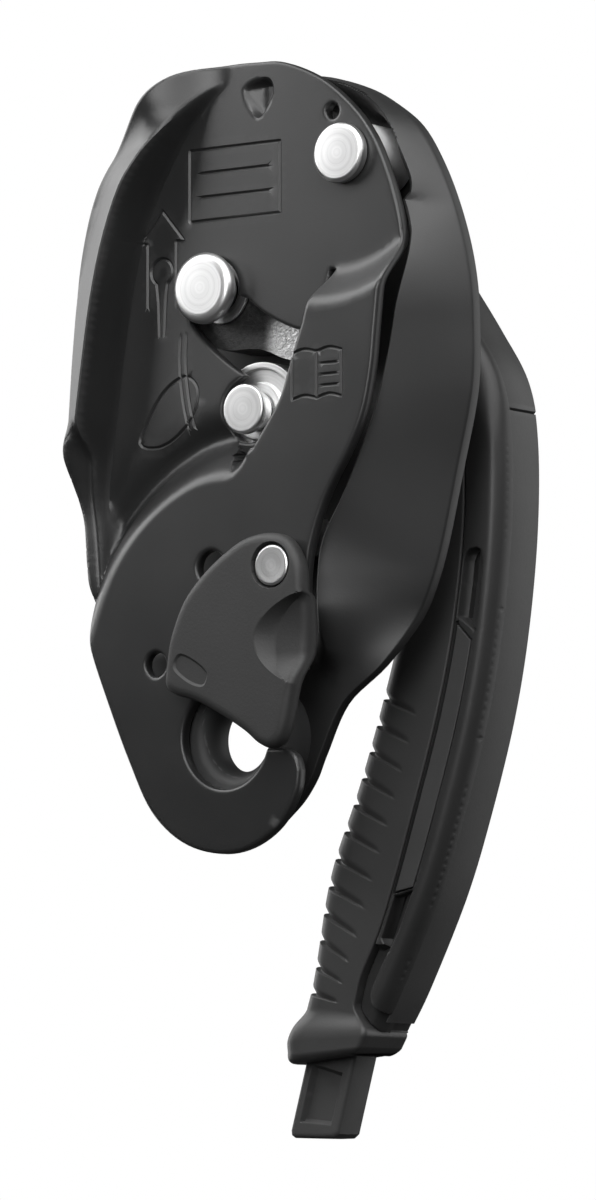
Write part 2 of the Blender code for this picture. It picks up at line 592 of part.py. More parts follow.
def make_handle(parts, cutters, plastic, rubber, black, steel, spring_finish):
    front, back = HANDLE_FRONT_Y, HANDLE_BACK_Y
    screws = [(26.0, 77.0), (34.0, 66.5)]
    arm = arc(CAM_AXLE, 12.0, 70.0, 285.0, 12) + [(8.0, 73.5), (17.5, 66.0), (23.5, 56.5), (34.0, 54.5),
                                                   (39.5, 62.0), (38.5, 72.0), (32.0, 83.0), (22.0, 92.0),
                                                   (8.0, 99.5)]
    holes = [circle(CAM_AXLE, 4.1, 16)] + [circle(spot, 1.9, 10) for spot in screws]
    flat_piece("handle_arm", [arm] + holes, *ARM_Y, parts, black)
    hub = arc(CAM_AXLE, 14.0, 75.0, 285.0, 14) + [(4.0, 76.0), (11.4, 84.0), (15.4, 90.5), (12.0, 99.5),
                                                   (4.0, 103.6)]
    cover = flat_piece("handle_hub_cover", [hub, circle(CAM_AXLE, 4.1, 16)], front, 21.0, parts, plastic)
    cover = as_mesh(cover, parts)
    seat = turned("return_spring_seat", CAM_AXLE, [(0.0, 12.0), (10.4, 12.0), (10.4, 17.6), (0.0, 17.6)],
                  cutters, plastic, steps=24)
    cut(cover, seat, "spring_seat")
    wire("handle_return_spring", coil(CAM_AXLE, 8.2, 14.4, 16.9, 1.5), 0.6, parts, spring_finish)
    shell = (handle_edge(0.0, 0.15, 2.88) + handle_edge(GRIP_SHARE + 0.02, 2.88, 9.9) + handle_edge(0.925, 9.9, 2.6)
             + handle_edge(1.0, 2.4, 0.0))
    body = flat_piece("handle_shell", [shell] + [circle(spot, 1.9, 10) for spot in screws], front, back, parts,
                      plastic)
    body = as_mesh(body, parts)
    groove = handle_edge(0.745, 3.6, 9.2) + handle_edge(0.885, 9.2, 3.6)
    groove = as_mesh(flat_piece("lever_groove", [groove], 12.0, 19.5, cutters, plastic), cutters)
    cut(body, groove, "lever_groove")
    side_cover = handle_edge(0.758, 4.9, 8.1) + handle_edge(0.872, 8.1, 4.9)
    flat_piece("handle_side_cover", [side_cover], front + 0.2, front + 1.8, parts, plastic)
    lever = handle_edge(0.775, 4.0, 8.9) + handle_edge(0.855, 8.9, 4.0)
    flat_piece("inner_lever", [lever], 15.8, 19.0, parts, black)
    grip = (handle_edge(0.0, 3.0, 11.0) + [handle_point(1.0, 11.0), handle_point(1.0, 10.1),
                                           handle_point(GRIP_SHARE, 10.1)]
            + handle_edge(GRIP_SHARE, 9.8, 3.0))
    grip = as_mesh(flat_piece("handle_grip", [grip], front + GAP, back - GAP, parts, rubber), parts)
    strip = handle_edge(0.945, 2.7, 9.9) + handle_edge(1.0, 9.9, 2.7)
    flat_piece("handle_spine_strip", [strip], 18.0, back - 0.2, parts, plastic)
    top = (5.9, -50.0)
    slot_loop = [along_button(top, s, d) for s, d in ((-6.2, -3.0), (6.2, -3.0), (6.2, 30.0), (-6.2, 30.0))]
    slot = as_mesh(flat_piece("button_slot", [slot_loop], 16.4, 25.6, cutters, plastic), cutters)
    cut(grip, slot, "button_slot")
    cut(body, slot, "button_slot")
    button = [along_button(top, s, d) for s, d in ((-5.6, 5.0), (5.6, 5.0), (5.6, 28.6), (4.6, 29.6),
                                                  (-4.6, 29.6), (-5.6, 28.6))]
    flat_piece("end_button", [button], 16.9, 25.1, parts, plastic)
    turns = []
    for k in range(37):
        angle = 2 * math.pi * k / 12
        x, z = along_button(top, 2.6 * math.cos(angle), -2.1 + 3.6 * k / 36)
        turns.append((x, 21.0 + 2.6 * math.sin(angle), z))
    wire("end_button_spring", turns, 0.45, parts, spring_finish)
    for name, spot in zip(("handle_screw_upper", "handle_screw_lower"), screws):
        profile = [(0.0, 11.2), (1.5, 11.2), (1.5, back + GAP), (3.0, back + GAP), (3.0, back + 1.4),
                   (0.0, back + 1.4)]
        turned(name, spot, profile, parts, steel, steps=16)


# ---------------------------------------------------------------- main

def main():
    clear_scene()
    parts = new_collection("belay_device")
    cutters = new_collection("cutters")
    black = anodised_black()
    steel = turned_steel()
    make_fixed_plate(parts, black)
    make_moving_plate(parts, black)
    make_plate_pivot(parts, steel)
    make_cam_axle(parts, steel, cast_steel())
    make_rope_post(parts, steel, cast_steel())
    make_friction_plate(parts, cast_steel(), steel)
    make_sleeve(parts, black)
    springs = spring_steel()
    make_gate(parts, cutters, gate_plastic(), steel, springs)
    make_cam(parts, cutters, cast_steel(), steel, springs)
    make_handle(parts, cutters, handle_plastic(), grip_rubber(), black, steel, springs)


main()
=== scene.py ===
# %% [markdown]
# # A self-braking descender, piece by piece
#
# The object is a rope descender: two pressed side plates hold a cam, the front one swings open to
# load the rope, and a curved handle behind them works the cam. The mechanical model is loaded
# first and never moved. Each cell then makes the fine surface of one piece and lets it ride on
# the body that it belongs to.

# %% Load the mechanical model
import json
import math

import bmesh
import bpy
import numpy as np
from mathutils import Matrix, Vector
from mathutils.geometry import delaunay_2d_cdt


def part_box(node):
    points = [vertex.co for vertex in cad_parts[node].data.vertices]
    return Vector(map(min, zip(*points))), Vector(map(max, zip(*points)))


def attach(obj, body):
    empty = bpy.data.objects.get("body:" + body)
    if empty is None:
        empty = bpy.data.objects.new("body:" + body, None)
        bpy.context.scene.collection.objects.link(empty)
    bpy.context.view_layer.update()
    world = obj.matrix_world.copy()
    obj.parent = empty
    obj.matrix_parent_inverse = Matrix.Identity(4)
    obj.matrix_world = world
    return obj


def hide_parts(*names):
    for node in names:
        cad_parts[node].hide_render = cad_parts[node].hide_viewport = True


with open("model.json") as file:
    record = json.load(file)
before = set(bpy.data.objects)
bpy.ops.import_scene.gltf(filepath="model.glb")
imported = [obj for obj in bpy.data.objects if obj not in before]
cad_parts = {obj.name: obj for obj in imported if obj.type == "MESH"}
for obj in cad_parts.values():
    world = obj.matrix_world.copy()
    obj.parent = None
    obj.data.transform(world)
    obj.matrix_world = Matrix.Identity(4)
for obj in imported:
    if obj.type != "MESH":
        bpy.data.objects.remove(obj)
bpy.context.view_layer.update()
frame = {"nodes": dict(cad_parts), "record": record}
MM = 0.001

# %% [markdown]
# ## Where the axes are
#
# Every turning piece has its axis along Y. The joints in the record give most of them, and the
# boxes of the round nodes give the others, so that nothing here is measured twice.

# %% Read the axes, in millimetres
JOINTS = {joint["name"]: joint for joint in frame["record"]["behaviour"]["joints"]}


def joint_axis(name):
    x, _, z = JOINTS[name]["pos_m"]
    return (x / MM, z / MM)


def node_axis(name):
    low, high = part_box(name)
    return ((low[0] + high[0]) / 2 / MM, (low[2] + high[2]) / 2 / MM)


PLATE_PIVOT = joint_axis("side_plate_swing")
GATE_PIVOT = joint_axis("gate_pivot")
CAM_AXLE = joint_axis("cam_pivot")
ROPE_POST = node_axis("rope_post")
HOLE = (0.0, 0.0)
print("cam axle", CAM_AXLE, "rope post", ROPE_POST)

# %% [markdown]
# ## Shader maths written as Python
#
# A material is easier to read when its arithmetic looks like arithmetic. `Term` wraps one socket
# and turns `+`, `-` and `*` into Math nodes. `Look` wraps one material and adds any other node
# through a single method: first the node's settings, then the values or links of its sockets.

# %% Term and Look


class Term:
    """One value in a shader; arithmetic on it adds Math nodes."""

    def __init__(self, look, socket):
        self.look = look
        self.socket = socket

    def maths(self, operation, a, b):
        return self.look.node("ShaderNodeMath", {"operation": operation}, {0: a, 1: b})

    def __add__(self, other):
        return self.maths("ADD", self, other)

    def __sub__(self, other):
        return self.maths("SUBTRACT", self, other)

    def __rsub__(self, other):
        return self.maths("SUBTRACT", other, self)

    def __mul__(self, other):
        return self.maths("MULTIPLY", self, other)

    __radd__ = __add__
    __rmul__ = __mul__


class Look:
    """A material with one Principled shader, and the nodes that feed it."""

    def __init__(self, name, colour, roughness, metallic=0.0, **fixed):
        self.material = bpy.data.materials.new(name)
        self.material.use_nodes = True
        self.tree = self.material.node_tree
        self.shader = self.tree.nodes["Principled BSDF"]
        self.set("Base Color", (*colour, 1.0))
        self.set("Roughness", roughness)
        self.set("Metallic", metallic)
        for socket, value in fixed.items():
            self.set(socket.replace("_", " "), value)

    def set(self, socket, value):
        self.put(self.shader.inputs[socket], value)

    def put(self, socket, value):
        if isinstance(value, Term):
            self.tree.links.new(value.socket, socket)
        else:
            socket.default_value = value

    def node(self, kind, settings=None, values=None, out=0):
        made = self.tree.nodes.new(kind)
        for name, value in (settings or {}).items():
            if name == "stops":
                self.stops(made.color_ramp, value)
            else:
                setattr(made, name, value)
        for socket, value in (values or {}).items():
            self.put(made.inputs[socket], value)
        return Term(self, made.outputs[out])

    def stops(self, ramp, stops):
        while len(ramp.elements) < len(stops):
            ramp.elements.new(1.0)
        for element, (place, shade) in zip(ramp.elements, stops):
            element.position = place
            element.color = (shade, shade, shade, 1.0)

    def here(self):
        """Place on the piece, in metres."""
        return self.node("ShaderNodeTexCoord", out="Object")

    def noise(self, scale, detail=3.0, rough=0.5, where=None):
        return self.node("ShaderNodeTexNoise", {}, {"Vector": where or self.here(), "Scale": scale,
                                                    "Detail": detail, "Roughness": rough})

    def between(self, low, high, factor):
        """Colour mixed from two, by a factor; each is three numbers or the result of another mix."""
        low, high = (colour if isinstance(colour, Term) else (*colour, 1.0) for colour in (low, high))
        return self.node("ShaderNodeMix", {"data_type": "RGBA"}, {0: factor, 6: low, 7: high}, out=2)

    def bump(self, height, distance, strength=1.0):
        self.set("Normal", self.node("ShaderNodeBump", {}, {"Height": height, "Distance": distance,
                                                            "Strength": strength}))


# %% [markdown]
# ## The finishes
#
# The side plates are aluminium alloy, pressed and then anodised satin black. Anodising leaves a
# fine sandy grain, and the edges rub slightly paler. The edge wear comes from the Geometry node's
# Pointiness, so it follows the real shape of each piece.

# %% Satin black anodising


def edge_wear(look, low=0.52, high=0.6):
    pointed = look.node("ShaderNodeNewGeometry", out="Pointiness")
    return look.node("ShaderNodeMapRange", {}, {"Value": pointed, "From Min": low, "From Max": high})


def anodised(name, shade, roughness, rubbed=0.35):
    look = Look(name, (shade, shade, shade), roughness, 0.0, IOR=1.6)
    cloud = look.noise(55.0, 4.0)
    grain = look.noise(2600.0, 2.0, 0.7)
    wear = edge_wear(look)
    base = look.between((shade * 0.8, shade * 0.82, shade * 0.84), (shade * 1.25,) * 3, cloud)
    look.set("Base Color", look.between(base, (0.16, 0.16, 0.16), wear * rubbed))
    look.set("Roughness", roughness - 0.05 + cloud * 0.1)
    look.bump(grain, 0.00003, 0.5)
    return look.material


BLACK = anodised("satin_black_anodising", 0.016, 0.36)
MATTE_BLACK = anodised("matte_black_anodising", 0.035, 0.6)
BLACK_REAR = anodised("satin_black_anodising_rear", 0.016, 0.5, 0.05)
print("anodised finishes", len(bpy.data.materials))

# %% [markdown]
# The bright heads are turned stainless steel. A turning tool leaves rings round the axis, so the
# roughness and the height follow the distance from the object's own origin, which sits on the axis.
# The cam is an investment casting, dark where the rope never runs and blasted bright at its nose.

# %% Turned and cast steel


def turned_steel(name, pitch=0.00028, roughness=0.36, shade=0.9, metallic=1.0):
    look = Look(name, (shade, shade, shade), roughness, metallic)
    place = look.here()
    flat = look.node("ShaderNodeVectorMath", {"operation": "MULTIPLY"}, {0: place, 1: (1.0, 1.0, 0.0)})
    radius = look.node("ShaderNodeVectorMath", {"operation": "LENGTH"}, {0: flat}, out="Value")
    rings = look.node("ShaderNodeMath", {"operation": "SINE"}, {0: radius * (2 * math.pi / pitch)})
    slow = look.node("ShaderNodeTexNoise", {"noise_dimensions": "1D"},
                     {"W": radius * 1500.0, "Scale": 1.0, "Detail": 3.0})
    look.set("Roughness", roughness - 0.08 + slow * 0.16)
    look.set("Base Color", look.between((shade * 0.7,) * 3, (min(1.0, shade * 1.12),) * 3, slow))
    look.bump(rings + slow * 3.0, 0.000004, 0.6)
    return look.material


def cast_steel(name, shade=0.5, roughness=0.34):
    look = Look(name, (shade, shade, shade), roughness, 1.0)
    grain = look.noise(1500.0, 3.0, 0.65)
    cloud = look.noise(120.0, 3.0)
    look.set("Base Color", look.between((shade * 0.6,) * 3, (shade * 1.2,) * 3, cloud))
    look.set("Roughness", roughness - 0.08 + cloud * 0.16)
    look.bump(grain, 0.00012, 0.8)
    return look.material


def cam_steel():
    """Cast steel, dark all over but blasted bright on the nose that grips the rope."""
    look = Look("cam_steel", (0.3, 0.3, 0.3), 0.36, 1.0)
    sideways = look.node("ShaderNodeSeparateXYZ", {}, {0: look.here()}, out="X")
    height = look.node("ShaderNodeSeparateXYZ", {}, {0: look.here()}, out="Z")
    grain = look.noise(1300.0, 3.0, 0.65)
    across = look.node("ShaderNodeMapRange", {"interpolation_type": "SMOOTHSTEP"},
                       {"Value": sideways, "From Min": 0.0008, "From Max": 0.0042})
    down = look.node("ShaderNodeMapRange", {"interpolation_type": "SMOOTHSTEP"},
                     {"Value": height, "From Min": 0.0875, "From Max": 0.0815})
    nose = across * down
    dark = look.between((0.04, 0.04, 0.04), (0.12, 0.12, 0.12), grain)
    bright = look.between((0.3, 0.3, 0.3), (0.75, 0.75, 0.75), grain)
    look.set("Base Color", look.between(dark, bright, nose))
    look.set("Roughness", 0.5 - nose * 0.16)
    look.bump(grain, 0.00016, 0.9)
    return look.material


BRIGHT = turned_steel("turned_stainless_steel")
CAM = cam_steel()
# Painted shade: the shank under the cam axle's head gets a dark steel that stands for the shadow the head
# casts on it.
NECK_PAINTED_SHADE = turned_steel("neck_steel_painted_shade", 0.0005, 0.35, 0.12)
# Painted light: the spacer steel is only partly metallic, so its pale colour shows as diffuse brightness where
# the plates shade it. This stands in for the reflection the spacer shows.
SPACER_STEEL_PAINTED_LIGHT = turned_steel("spacer_steel_painted_light", 0.0005, 0.5, 0.85, 0.4)
CAST = cast_steel("blasted_cast_steel")
WIRE = turned_steel("drawn_spring_wire", 0.0006, 0.3, 0.55)
print("finishes with the steels", len(bpy.data.materials))

# %% [markdown]
# The gate and the handle are moulded nylon with a spark-eroded texture: black, rough, and finely
# pitted. The grip is a softer rubber, a little paler where it catches the light.

# %% Moulded plastic and rubber


def moulded(name, shade, roughness, grain_scale=1700.0, grain_height=0.00005):
    look = Look(name, (shade, shade, shade), roughness, 0.0, IOR=1.5)
    grain = look.noise(grain_scale, 3.0, 0.6)
    cloud = look.noise(70.0, 3.0)
    wear = edge_wear(look, 0.53, 0.62)
    base = look.between((shade * 0.82,) * 3, (shade * 1.2,) * 3, cloud)
    look.set("Base Color", look.between(base, (0.12, 0.12, 0.12), wear * 0.3))
    look.set("Roughness", roughness - 0.06 + grain * 0.12)
    look.bump(grain, grain_height, 0.7)
    return look.material


GATE_NYLON = moulded("textured_gate_nylon", 0.028, 0.55)
HANDLE_NYLON = moulded("satin_handle_nylon", 0.032, 0.45, 2200.0, 0.00002)
STRIP_NYLON = moulded("matte_strip_nylon", 0.06, 0.55, 1500.0, 0.00003)
GRIP_RUBBER = moulded("soft_grip_rubber", 0.05, 0.45, 1300.0, 0.00003)
print("finishes in all", len(bpy.data.materials))

# %% [markdown]
# ## Plane geometry
#
# The plates are described by outlines in the XZ plane and by a depth for every point of them. The
# outlines are short lists of points joined by a Catmull-Rom curve. The distance to a line of
# points, signed by its side, is what shapes every ramp, wall and rounded rim.

# %% Curves, arcs and distances


def smoothstep(t):
    t = np.clip(t, 0.0, 1.0)
    return t * t * (3.0 - 2.0 * t)


def catmull(a, b, c, d, t):
    a, b, c, d = (np.asarray(p, float) for p in (a, b, c, d))
    return 0.5 * (2 * b + (c - a) * t + (2 * a - 5 * b + 4 * c - d) * t * t
                  + (3 * b - a - 3 * c + d) * t ** 3)


def smooth_line(points, steps):
    ends = [points[0]] + list(points) + [points[-1]]
    line = [tuple(catmull(*ends[i:i + 4], k / steps)) for i in range(len(points) - 1) for k in range(steps)]
    return line + [tuple(points[-1])]


def smooth_loop(points, steps):
    count = len(points)
    return [tuple(catmull(*[points[(i + k - 1) % count] for k in range(4)], s / steps))
            for i in range(count) for s in range(steps)]


def arc(centre, radius, start, end, steps):
    turns = [math.radians(start + (end - start) * k / steps) for k in range(steps + 1)]
    return [(centre[0] + radius * math.cos(a), centre[1] + radius * math.sin(a)) for a in turns]


def circle(centre, radius, steps=48):
    return arc(centre, radius, 0.0, 360.0, steps)[:-1]


def evenly(loop, spacing, closed=True):
    """The same line with extra points, so that none are further apart than the spacing."""
    ends = list(loop[1:]) + ([loop[0]] if closed else [])
    out = []
    for a, b in zip(loop, ends):
        count = max(1, math.ceil(math.dist(a, b) / spacing))
        out += [(a[0] + (b[0] - a[0]) * k / count, a[1] + (b[1] - a[1]) * k / count) for k in range(count)]
    return out if closed else out + [tuple(loop[-1])]


def to_line(points, line):
    """Signed distance of each point to a line (positive on its right), and the nearest spots on it."""
    points = np.asarray(points, float)
    best = np.full(len(points), 1e9)
    side = np.zeros(len(points))
    foot = np.zeros_like(points)
    for a, b in zip(line[:-1], line[1:]):
        along = np.subtract(b, a)
        rel = points - a
        t = np.clip(rel @ along / (along @ along), 0.0, 1.0)
        near = np.outer(t, along) + a
        gap = np.linalg.norm(points - near, axis=1)
        closer = gap < best
        best[closer] = gap[closer]
        foot[closer] = near[closer]
        side[closer] = (rel[:, 0] * along[1] - rel[:, 1] * along[0])[closer]
    return np.copysign(best, side), foot


def within(points, loop):
    """Which points lie inside a closed loop."""
    x, z = np.asarray(points, float).T
    odd = np.zeros(len(x), bool)
    for (x0, z0), (x1, z1) in zip(loop, loop[1:] + loop[:1]):
        if z0 == z1:
            continue
        crosses = (z0 > z) != (z1 > z)
        odd ^= crosses & (x < (x1 - x0) * (z - z0) / (z1 - z0) + x0)
    return odd


def from_point(points, centre):
    return np.hypot(points[:, 0] - centre[0], points[:, 1] - centre[1])


# %% [markdown]
# ## Pressed sheet
#
# A real side plate is blanked from sheet, pressed in a die, and tumbled until its edges are round.
# The mesh is made the same way: the outline and holes are filled with a constrained
# triangulation, the depth presses it, and near each rim both faces curve towards each other.

# %% The sheet maker


def finish_piece(obj, body, look, nodes=()):
    """Gives a piece its material, its body and the nodes that it stands for."""
    obj.data.materials.clear()
    obj.data.materials.append(look)
    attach(obj, body)
    if nodes:
        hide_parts(*nodes)
    return obj


def new_object(name, mesh, sharp=32.0):
    mesh.shade_smooth()
    mesh.set_sharp_from_angle(angle=math.radians(sharp))
    obj = bpy.data.objects.new(name, mesh)
    bpy.context.scene.collection.objects.link(obj)
    return obj


def rim_points(loop, distances):
    """Points at set distances on both sides of a closed loop."""
    loop = np.asarray(loop)
    along = np.roll(loop, -1, 0) - np.roll(loop, 1, 0)
    normal = np.stack([along[:, 1], -along[:, 0]], 1) / np.linalg.norm(along, axis=1)[:, None]
    return np.concatenate([loop + normal * d * s for d in distances for s in (-1, 1)])


def rows_beside(line, offsets, spacing=0.8):
    """Rows of points at signed distances to the right of an open line."""
    line = np.array(evenly(line, spacing, False))
    along = np.gradient(line, axis=0)
    length = np.maximum(np.linalg.norm(along, axis=1), 1e-9)
    normal = np.stack([along[:, 1], -along[:, 0]], 1) / length[:, None]
    return np.concatenate([line + normal * d for d in offsets])


def pressed_sheet(name, outline, holes, depth, thick, rounding=0.8, spacing=1.3, rim_spacing=0.7, extra=(),
                  back=None):
    loops = [evenly(loop, rim_spacing) for loop in [outline] + holes]
    closed = [loop + loop[:1] for loop in loops]
    steps = [rounding * k for k in (0.12, 0.4, 0.8, 1.25)]
    low, high = np.min(outline, 0), np.max(outline, 0)
    rows = np.arange(low[1], high[1], spacing * 0.87)
    columns = np.arange(low[0], high[0], spacing)
    grid = np.array([(x + spacing * 0.5 * (j % 2), z) for j, z in enumerate(rows) for x in columns])
    inner = np.concatenate([rim_points(loop, steps) for loop in loops])

    def inside(points):
        keep = within(points, loops[0])
        for hole in loops[1:]:
            keep &= ~within(points, hole)
        return keep

    def rim_distance(points):
        return np.min([np.abs(to_line(points, line)[0]) for line in closed], axis=0)

    grid = grid[inside(grid)]
    grid = grid[rim_distance(grid) > steps[-1] + 0.4 * spacing]
    inner = inner[inside(inner)]
    near = rim_distance(inner)
    inner = inner[near > steps[0] * 0.9]
    spots = [np.array(loop) for loop in loops] + [inner]
    if len(extra):
        extra = np.asarray(extra)
        extra = extra[inside(extra)]
        extra = extra[rim_distance(extra) > 0.1]
        gaps = [np.hypot(*(extra - spot).T).min() for spot in grid]
        grid = grid[np.array(gaps) > 0.35 * spacing]
        spots.append(extra)
    spots.append(grid)
    edges = []
    count = 0
    for loop in loops:
        edges += [(count + i, count + (i + 1) % len(loop)) for i in range(len(loop))]
        count += len(loop)
    flat, _, faces, _, _, _ = delaunay_2d_cdt([Vector(p) for p in np.concatenate(spots)], edges, [], 0, 1e-4)
    flat = np.array([tuple(p) for p in flat])
    faces = [face for face, keep in zip(faces, inside(flat[np.array(faces)].mean(1))) if keep]
    gap = rim_distance(flat)
    curl = rounding - np.sqrt(np.maximum(rounding ** 2 - np.maximum(rounding - gap, 0.0) ** 2, 0.0))
    front = depth(flat) + curl
    rear = back(flat) if back else depth(flat) + thick
    rear = np.maximum(rear - curl, front + 0.15)
    size = len(flat)
    verts = [(x * MM, y * MM, z * MM) for (x, z), y in zip(flat, front)]
    verts += [(x * MM, y * MM, z * MM) for (x, z), y in zip(flat, rear)]
    sense = np.cross(flat[faces[0][1]] - flat[faces[0][0]], flat[faces[0][2]] - flat[faces[0][0]])
    turned_faces = faces if sense > 0 else [face[::-1] for face in faces]
    everything = [tuple(face) for face in turned_faces]
    everything += [tuple(i + size for i in face[::-1]) for face in turned_faces]
    used = {}
    for face in turned_faces:
        for a, b in zip(face, face[1:] + face[:1]):
            used[(a, b)] = True
    everything += [(b, a, a + size, b + size) for a, b in used if (b, a) not in used]
    mesh = bpy.data.meshes.new(name)
    mesh.from_pydata(verts, [], everything)
    mesh.validate()
    clean = bmesh.new()
    clean.from_mesh(mesh)
    bmesh.ops.delete(clean, geom=[v for v in clean.verts if not v.link_faces], context="VERTS")
    bmesh.ops.recalc_face_normals(clean, faces=clean.faces)
    clean.to_mesh(mesh)
    clean.free()
    print(name, len(mesh.polygons), "faces")
    return new_object(name, mesh)


# %% [markdown]
# ## Moving side plate
#
# The front plate turns on the bright head at the top right. Its middle is a recessed plane; the
# right and the bottom are raised, so that the heads of the cam axle and the rope post pass under
# them as it swings. Its left edge is flared into a tall rounded flange that guides the rope.

# %% Outline and window of the moving plate
SHEET = 2.7
PLANE_Y = -9.0
RAISED = 7.5


def moving_outline():
    right = [(19.2, 12.4), (19.8, 22.0), (20.3, 34.0), (24.1, 45.5), (30.2, 55.5), (33.6, 62.5), (35.5, 70.7),
             (36.4, 78.6), (37.2, 86.0), (38.2, 93.0), (37.6, 99.5), (36.2, 105.5), (33.8, 112.2),
             (30.4, 119.0), (25.4, 125.2), (18.0, 131.2), (9.0, 135.3)]
    left = [(2.0, 136.05), (-6.0, 136.1), (-14.2, 134.7), (-20.8, 130.2), (-26.3, 123.4), (-31.6, 115.6),
            (-35.4, 106.6), (-38.0, 94.0), (-38.8, 80.0), (-38.8, 68.0), (-38.8, 60.0), (-38.7, 51.0),
            (-37.8, 43.0), (-37.2, 36.0), (-36.4, 29.0), (-34.0, 19.0), (-29.6, 8.0), (-24.2, -4.0),
            (-18.6, -14.2), (-11.0, -20.6), (-2.0, -23.2), (6.0, -22.3), (13.0, -18.2), (17.4, -11.8),
            (18.2, -7.4)]
    slot = arc(HOLE, 10.5, -16.0, -270.0, 60)
    tip = smooth_line([(18.2, -7.4), (17.2, -4.6), (14.8, -3.1), (11.6, -2.9), slot[0]], 5)
    return smooth_line(right + left, 6)[:-1] + tip[:-1] + slot + [(13.0, 11.0)]


def window_loop():
    pocket = arc(CAM_AXLE, 6.3, 200.0, -14.0, 30)
    upper = arc(PLATE_PIVOT, 36.1, -132.0, -101.5, 20)
    slit = [(20.4, 92.2), (21.6, 92.4), (18.6, 81.2)]
    right = smooth_line([(18.6, 81.2), (15.6, 73.4), (12.9, 66.1), (6.4, 56.9)], 6)[1:]
    notch = arc(ROPE_POST, 6.6, 285.0, 115.0, 20)
    lower = arc(PLATE_PIVOT, 49.0, -120.0, -141.0, 12)
    return pocket + upper + slit + right + notch + lower


print("outline of", len(moving_outline()), "points, window of", len(window_loop()))

# %% [markdown]
# The depth of each point is a sum of ramps. `RAISED_LINE` is the foot of the raised zone's wall,
# steep beside the window and long and soft at the lower left, where a crescent valley runs in
# front of it. `FLANGE_LINE` is the foot of the rope flange.

# %% Depth of the moving plate
RAISED_LINE = smooth_line([(24.6, 104.0), (21.4, 92.5), (18.1, 81.5), (15.2, 73.5), (12.5, 66.2), (7.0, 58.0),
                           (2.0, 51.4), (-4.0, 50.6), (-9.0, 49.4), (-15.6, 46.0), (-21.6, 41.2),
                           (-26.6, 35.2), (-30.0, 28.6), (-32.8, 21.0), (-36.0, 12.0), (-39.0, 0.0)], 3)
FLANGE_LINE = smooth_line([(-1.0, 133.6), (-8.0, 129.6), (-15.0, 122.6), (-19.4, 116.0), (-23.6, 108.4),
                           (-27.0, 99.0), (-29.4, 89.0), (-31.2, 78.0), (-32.8, 67.0), (-34.0, 58.0),
                           (-34.8, 50.0), (-34.0, 42.0), (-33.4, 35.0), (-33.0, 28.0)], 3)
FLANGE_HIGH = 11.5
VALLEY_DEEP = 2.2
DIMPLE_DEEP = 2.4
DIMPLE = smooth_loop([(-1.2, 131.0), (1.8, 132.3), (5.2, 132.2), (6.2, 129.8), (5.0, 127.0), (2.5, 124.6),
                      (0.4, 126.6), (-0.9, 128.8)], 4)


def engraving_depth(points, strokes, deep=0.32, half=0.42):
    """Grooves along thin strokes."""
    total = np.zeros(len(points))
    for stroke in strokes:
        gap, _ = to_line(points, stroke)
        total = np.maximum(total, deep * (1.0 - smoothstep(np.abs(gap) / half)))
    return total


def moving_depth(points):
    x, z = points.T
    side, foot = to_line(points, RAISED_LINE)
    low_left = smoothstep((6.0 - foot[:, 0]) / 6.0)
    ramp = 0.01 + 3.4 * smoothstep((59.0 - foot[:, 1]) / 3.0) + 6.5 * low_left
    raised = smoothstep((ramp - side) / ramp)
    raised = np.minimum(raised, smoothstep((from_point(points, PLATE_PIVOT) - 22.0) / 9.5))
    valley = low_left * VALLEY_DEEP * np.exp(-((side - ramp - 0.5) / 3.0) ** 2)
    out, _ = to_line(points, FLANGE_LINE)
    tall = smoothstep((-4.0 - x) / 17.0) * (0.55 + 0.45 * smoothstep((z - 44.0) / 18.0))
    tall = tall * smoothstep((z - 20.0) / 14.0)
    drop = 0.32 - 0.4 * smoothstep((z - 118.0) / 12.0)
    upper = smoothstep(out / 2.0) - drop * np.clip((out - 1.6) / 5.6, 0.0, 1.3)
    lower = 0.45 * smoothstep(out / 1.6) + 0.55 * smoothstep((out - 1.8) / 3.0)
    high = FLANGE_HIGH * (1.0 - 0.34 * smoothstep((z - 112.0) / 16.0)) - 1.2 * smoothstep((62.0 - z) / 14.0)
    flange = tall * high * (lower + (upper - lower) * smoothstep((z - 57.0) / 9.0))
    rim, _ = to_line(points, DIMPLE + DIMPLE[:1])
    depth_in = np.where(within(points, DIMPLE), np.abs(rim), -np.abs(rim))
    sunk = np.clip(0.55 * (x + 1.6), 0.0, DIMPLE_DEEP) * smoothstep((depth_in + 0.3) / 1.5)
    raised_y = PLANE_Y - RAISED * raised
    return np.minimum(raised_y, PLANE_Y - flange) + valley * (1.0 - smoothstep((out + 1.5) / 2.5)) + sunk


# %% [markdown]
# Rope direction marks are stamped into the recessed plane. They are plain, generic signs: an arrow
# with a rope loop, an open hand with a rope line, an open booklet, and an empty marking field with
# two rules. Points are added along each stroke, so the grooves are real geometry.

# %% Stamped marks


def marking_field():
    x0, x1, z0, z1 = -14.5, 8.0, 105.0, 119.5
    frame_line = [(x0, z0), (x1, z0), (x1, z1), (x0, z1), (x0, z0)]
    rules = [[(x0 + 3, z), (x1 - 3, z)] for z in (109.8, 114.7)]
    return [frame_line] + rules


def arrow_mark():
    x, z = -21.5, 84.5
    head = [(x - 3.6, z + 17.0), (x - 5.6, z + 17.0), (x, z + 23.5), (x + 5.6, z + 17.0), (x + 3.6, z + 17.0)]
    shaft = [[(x + s * 3.6, z + 17.0), (x + s * 3.6, z + 4.0)] for s in (-1, 1)]
    loop = ([(x + 0.6, z - 2.0), (x + 0.9, z + 5.0)] + arc((x, z + 11.0), 2.7, -60.0, 240.0, 20)
            + [(x - 0.9, z + 5.0), (x - 0.6, z - 2.0)])
    return [head, *shaft, loop]


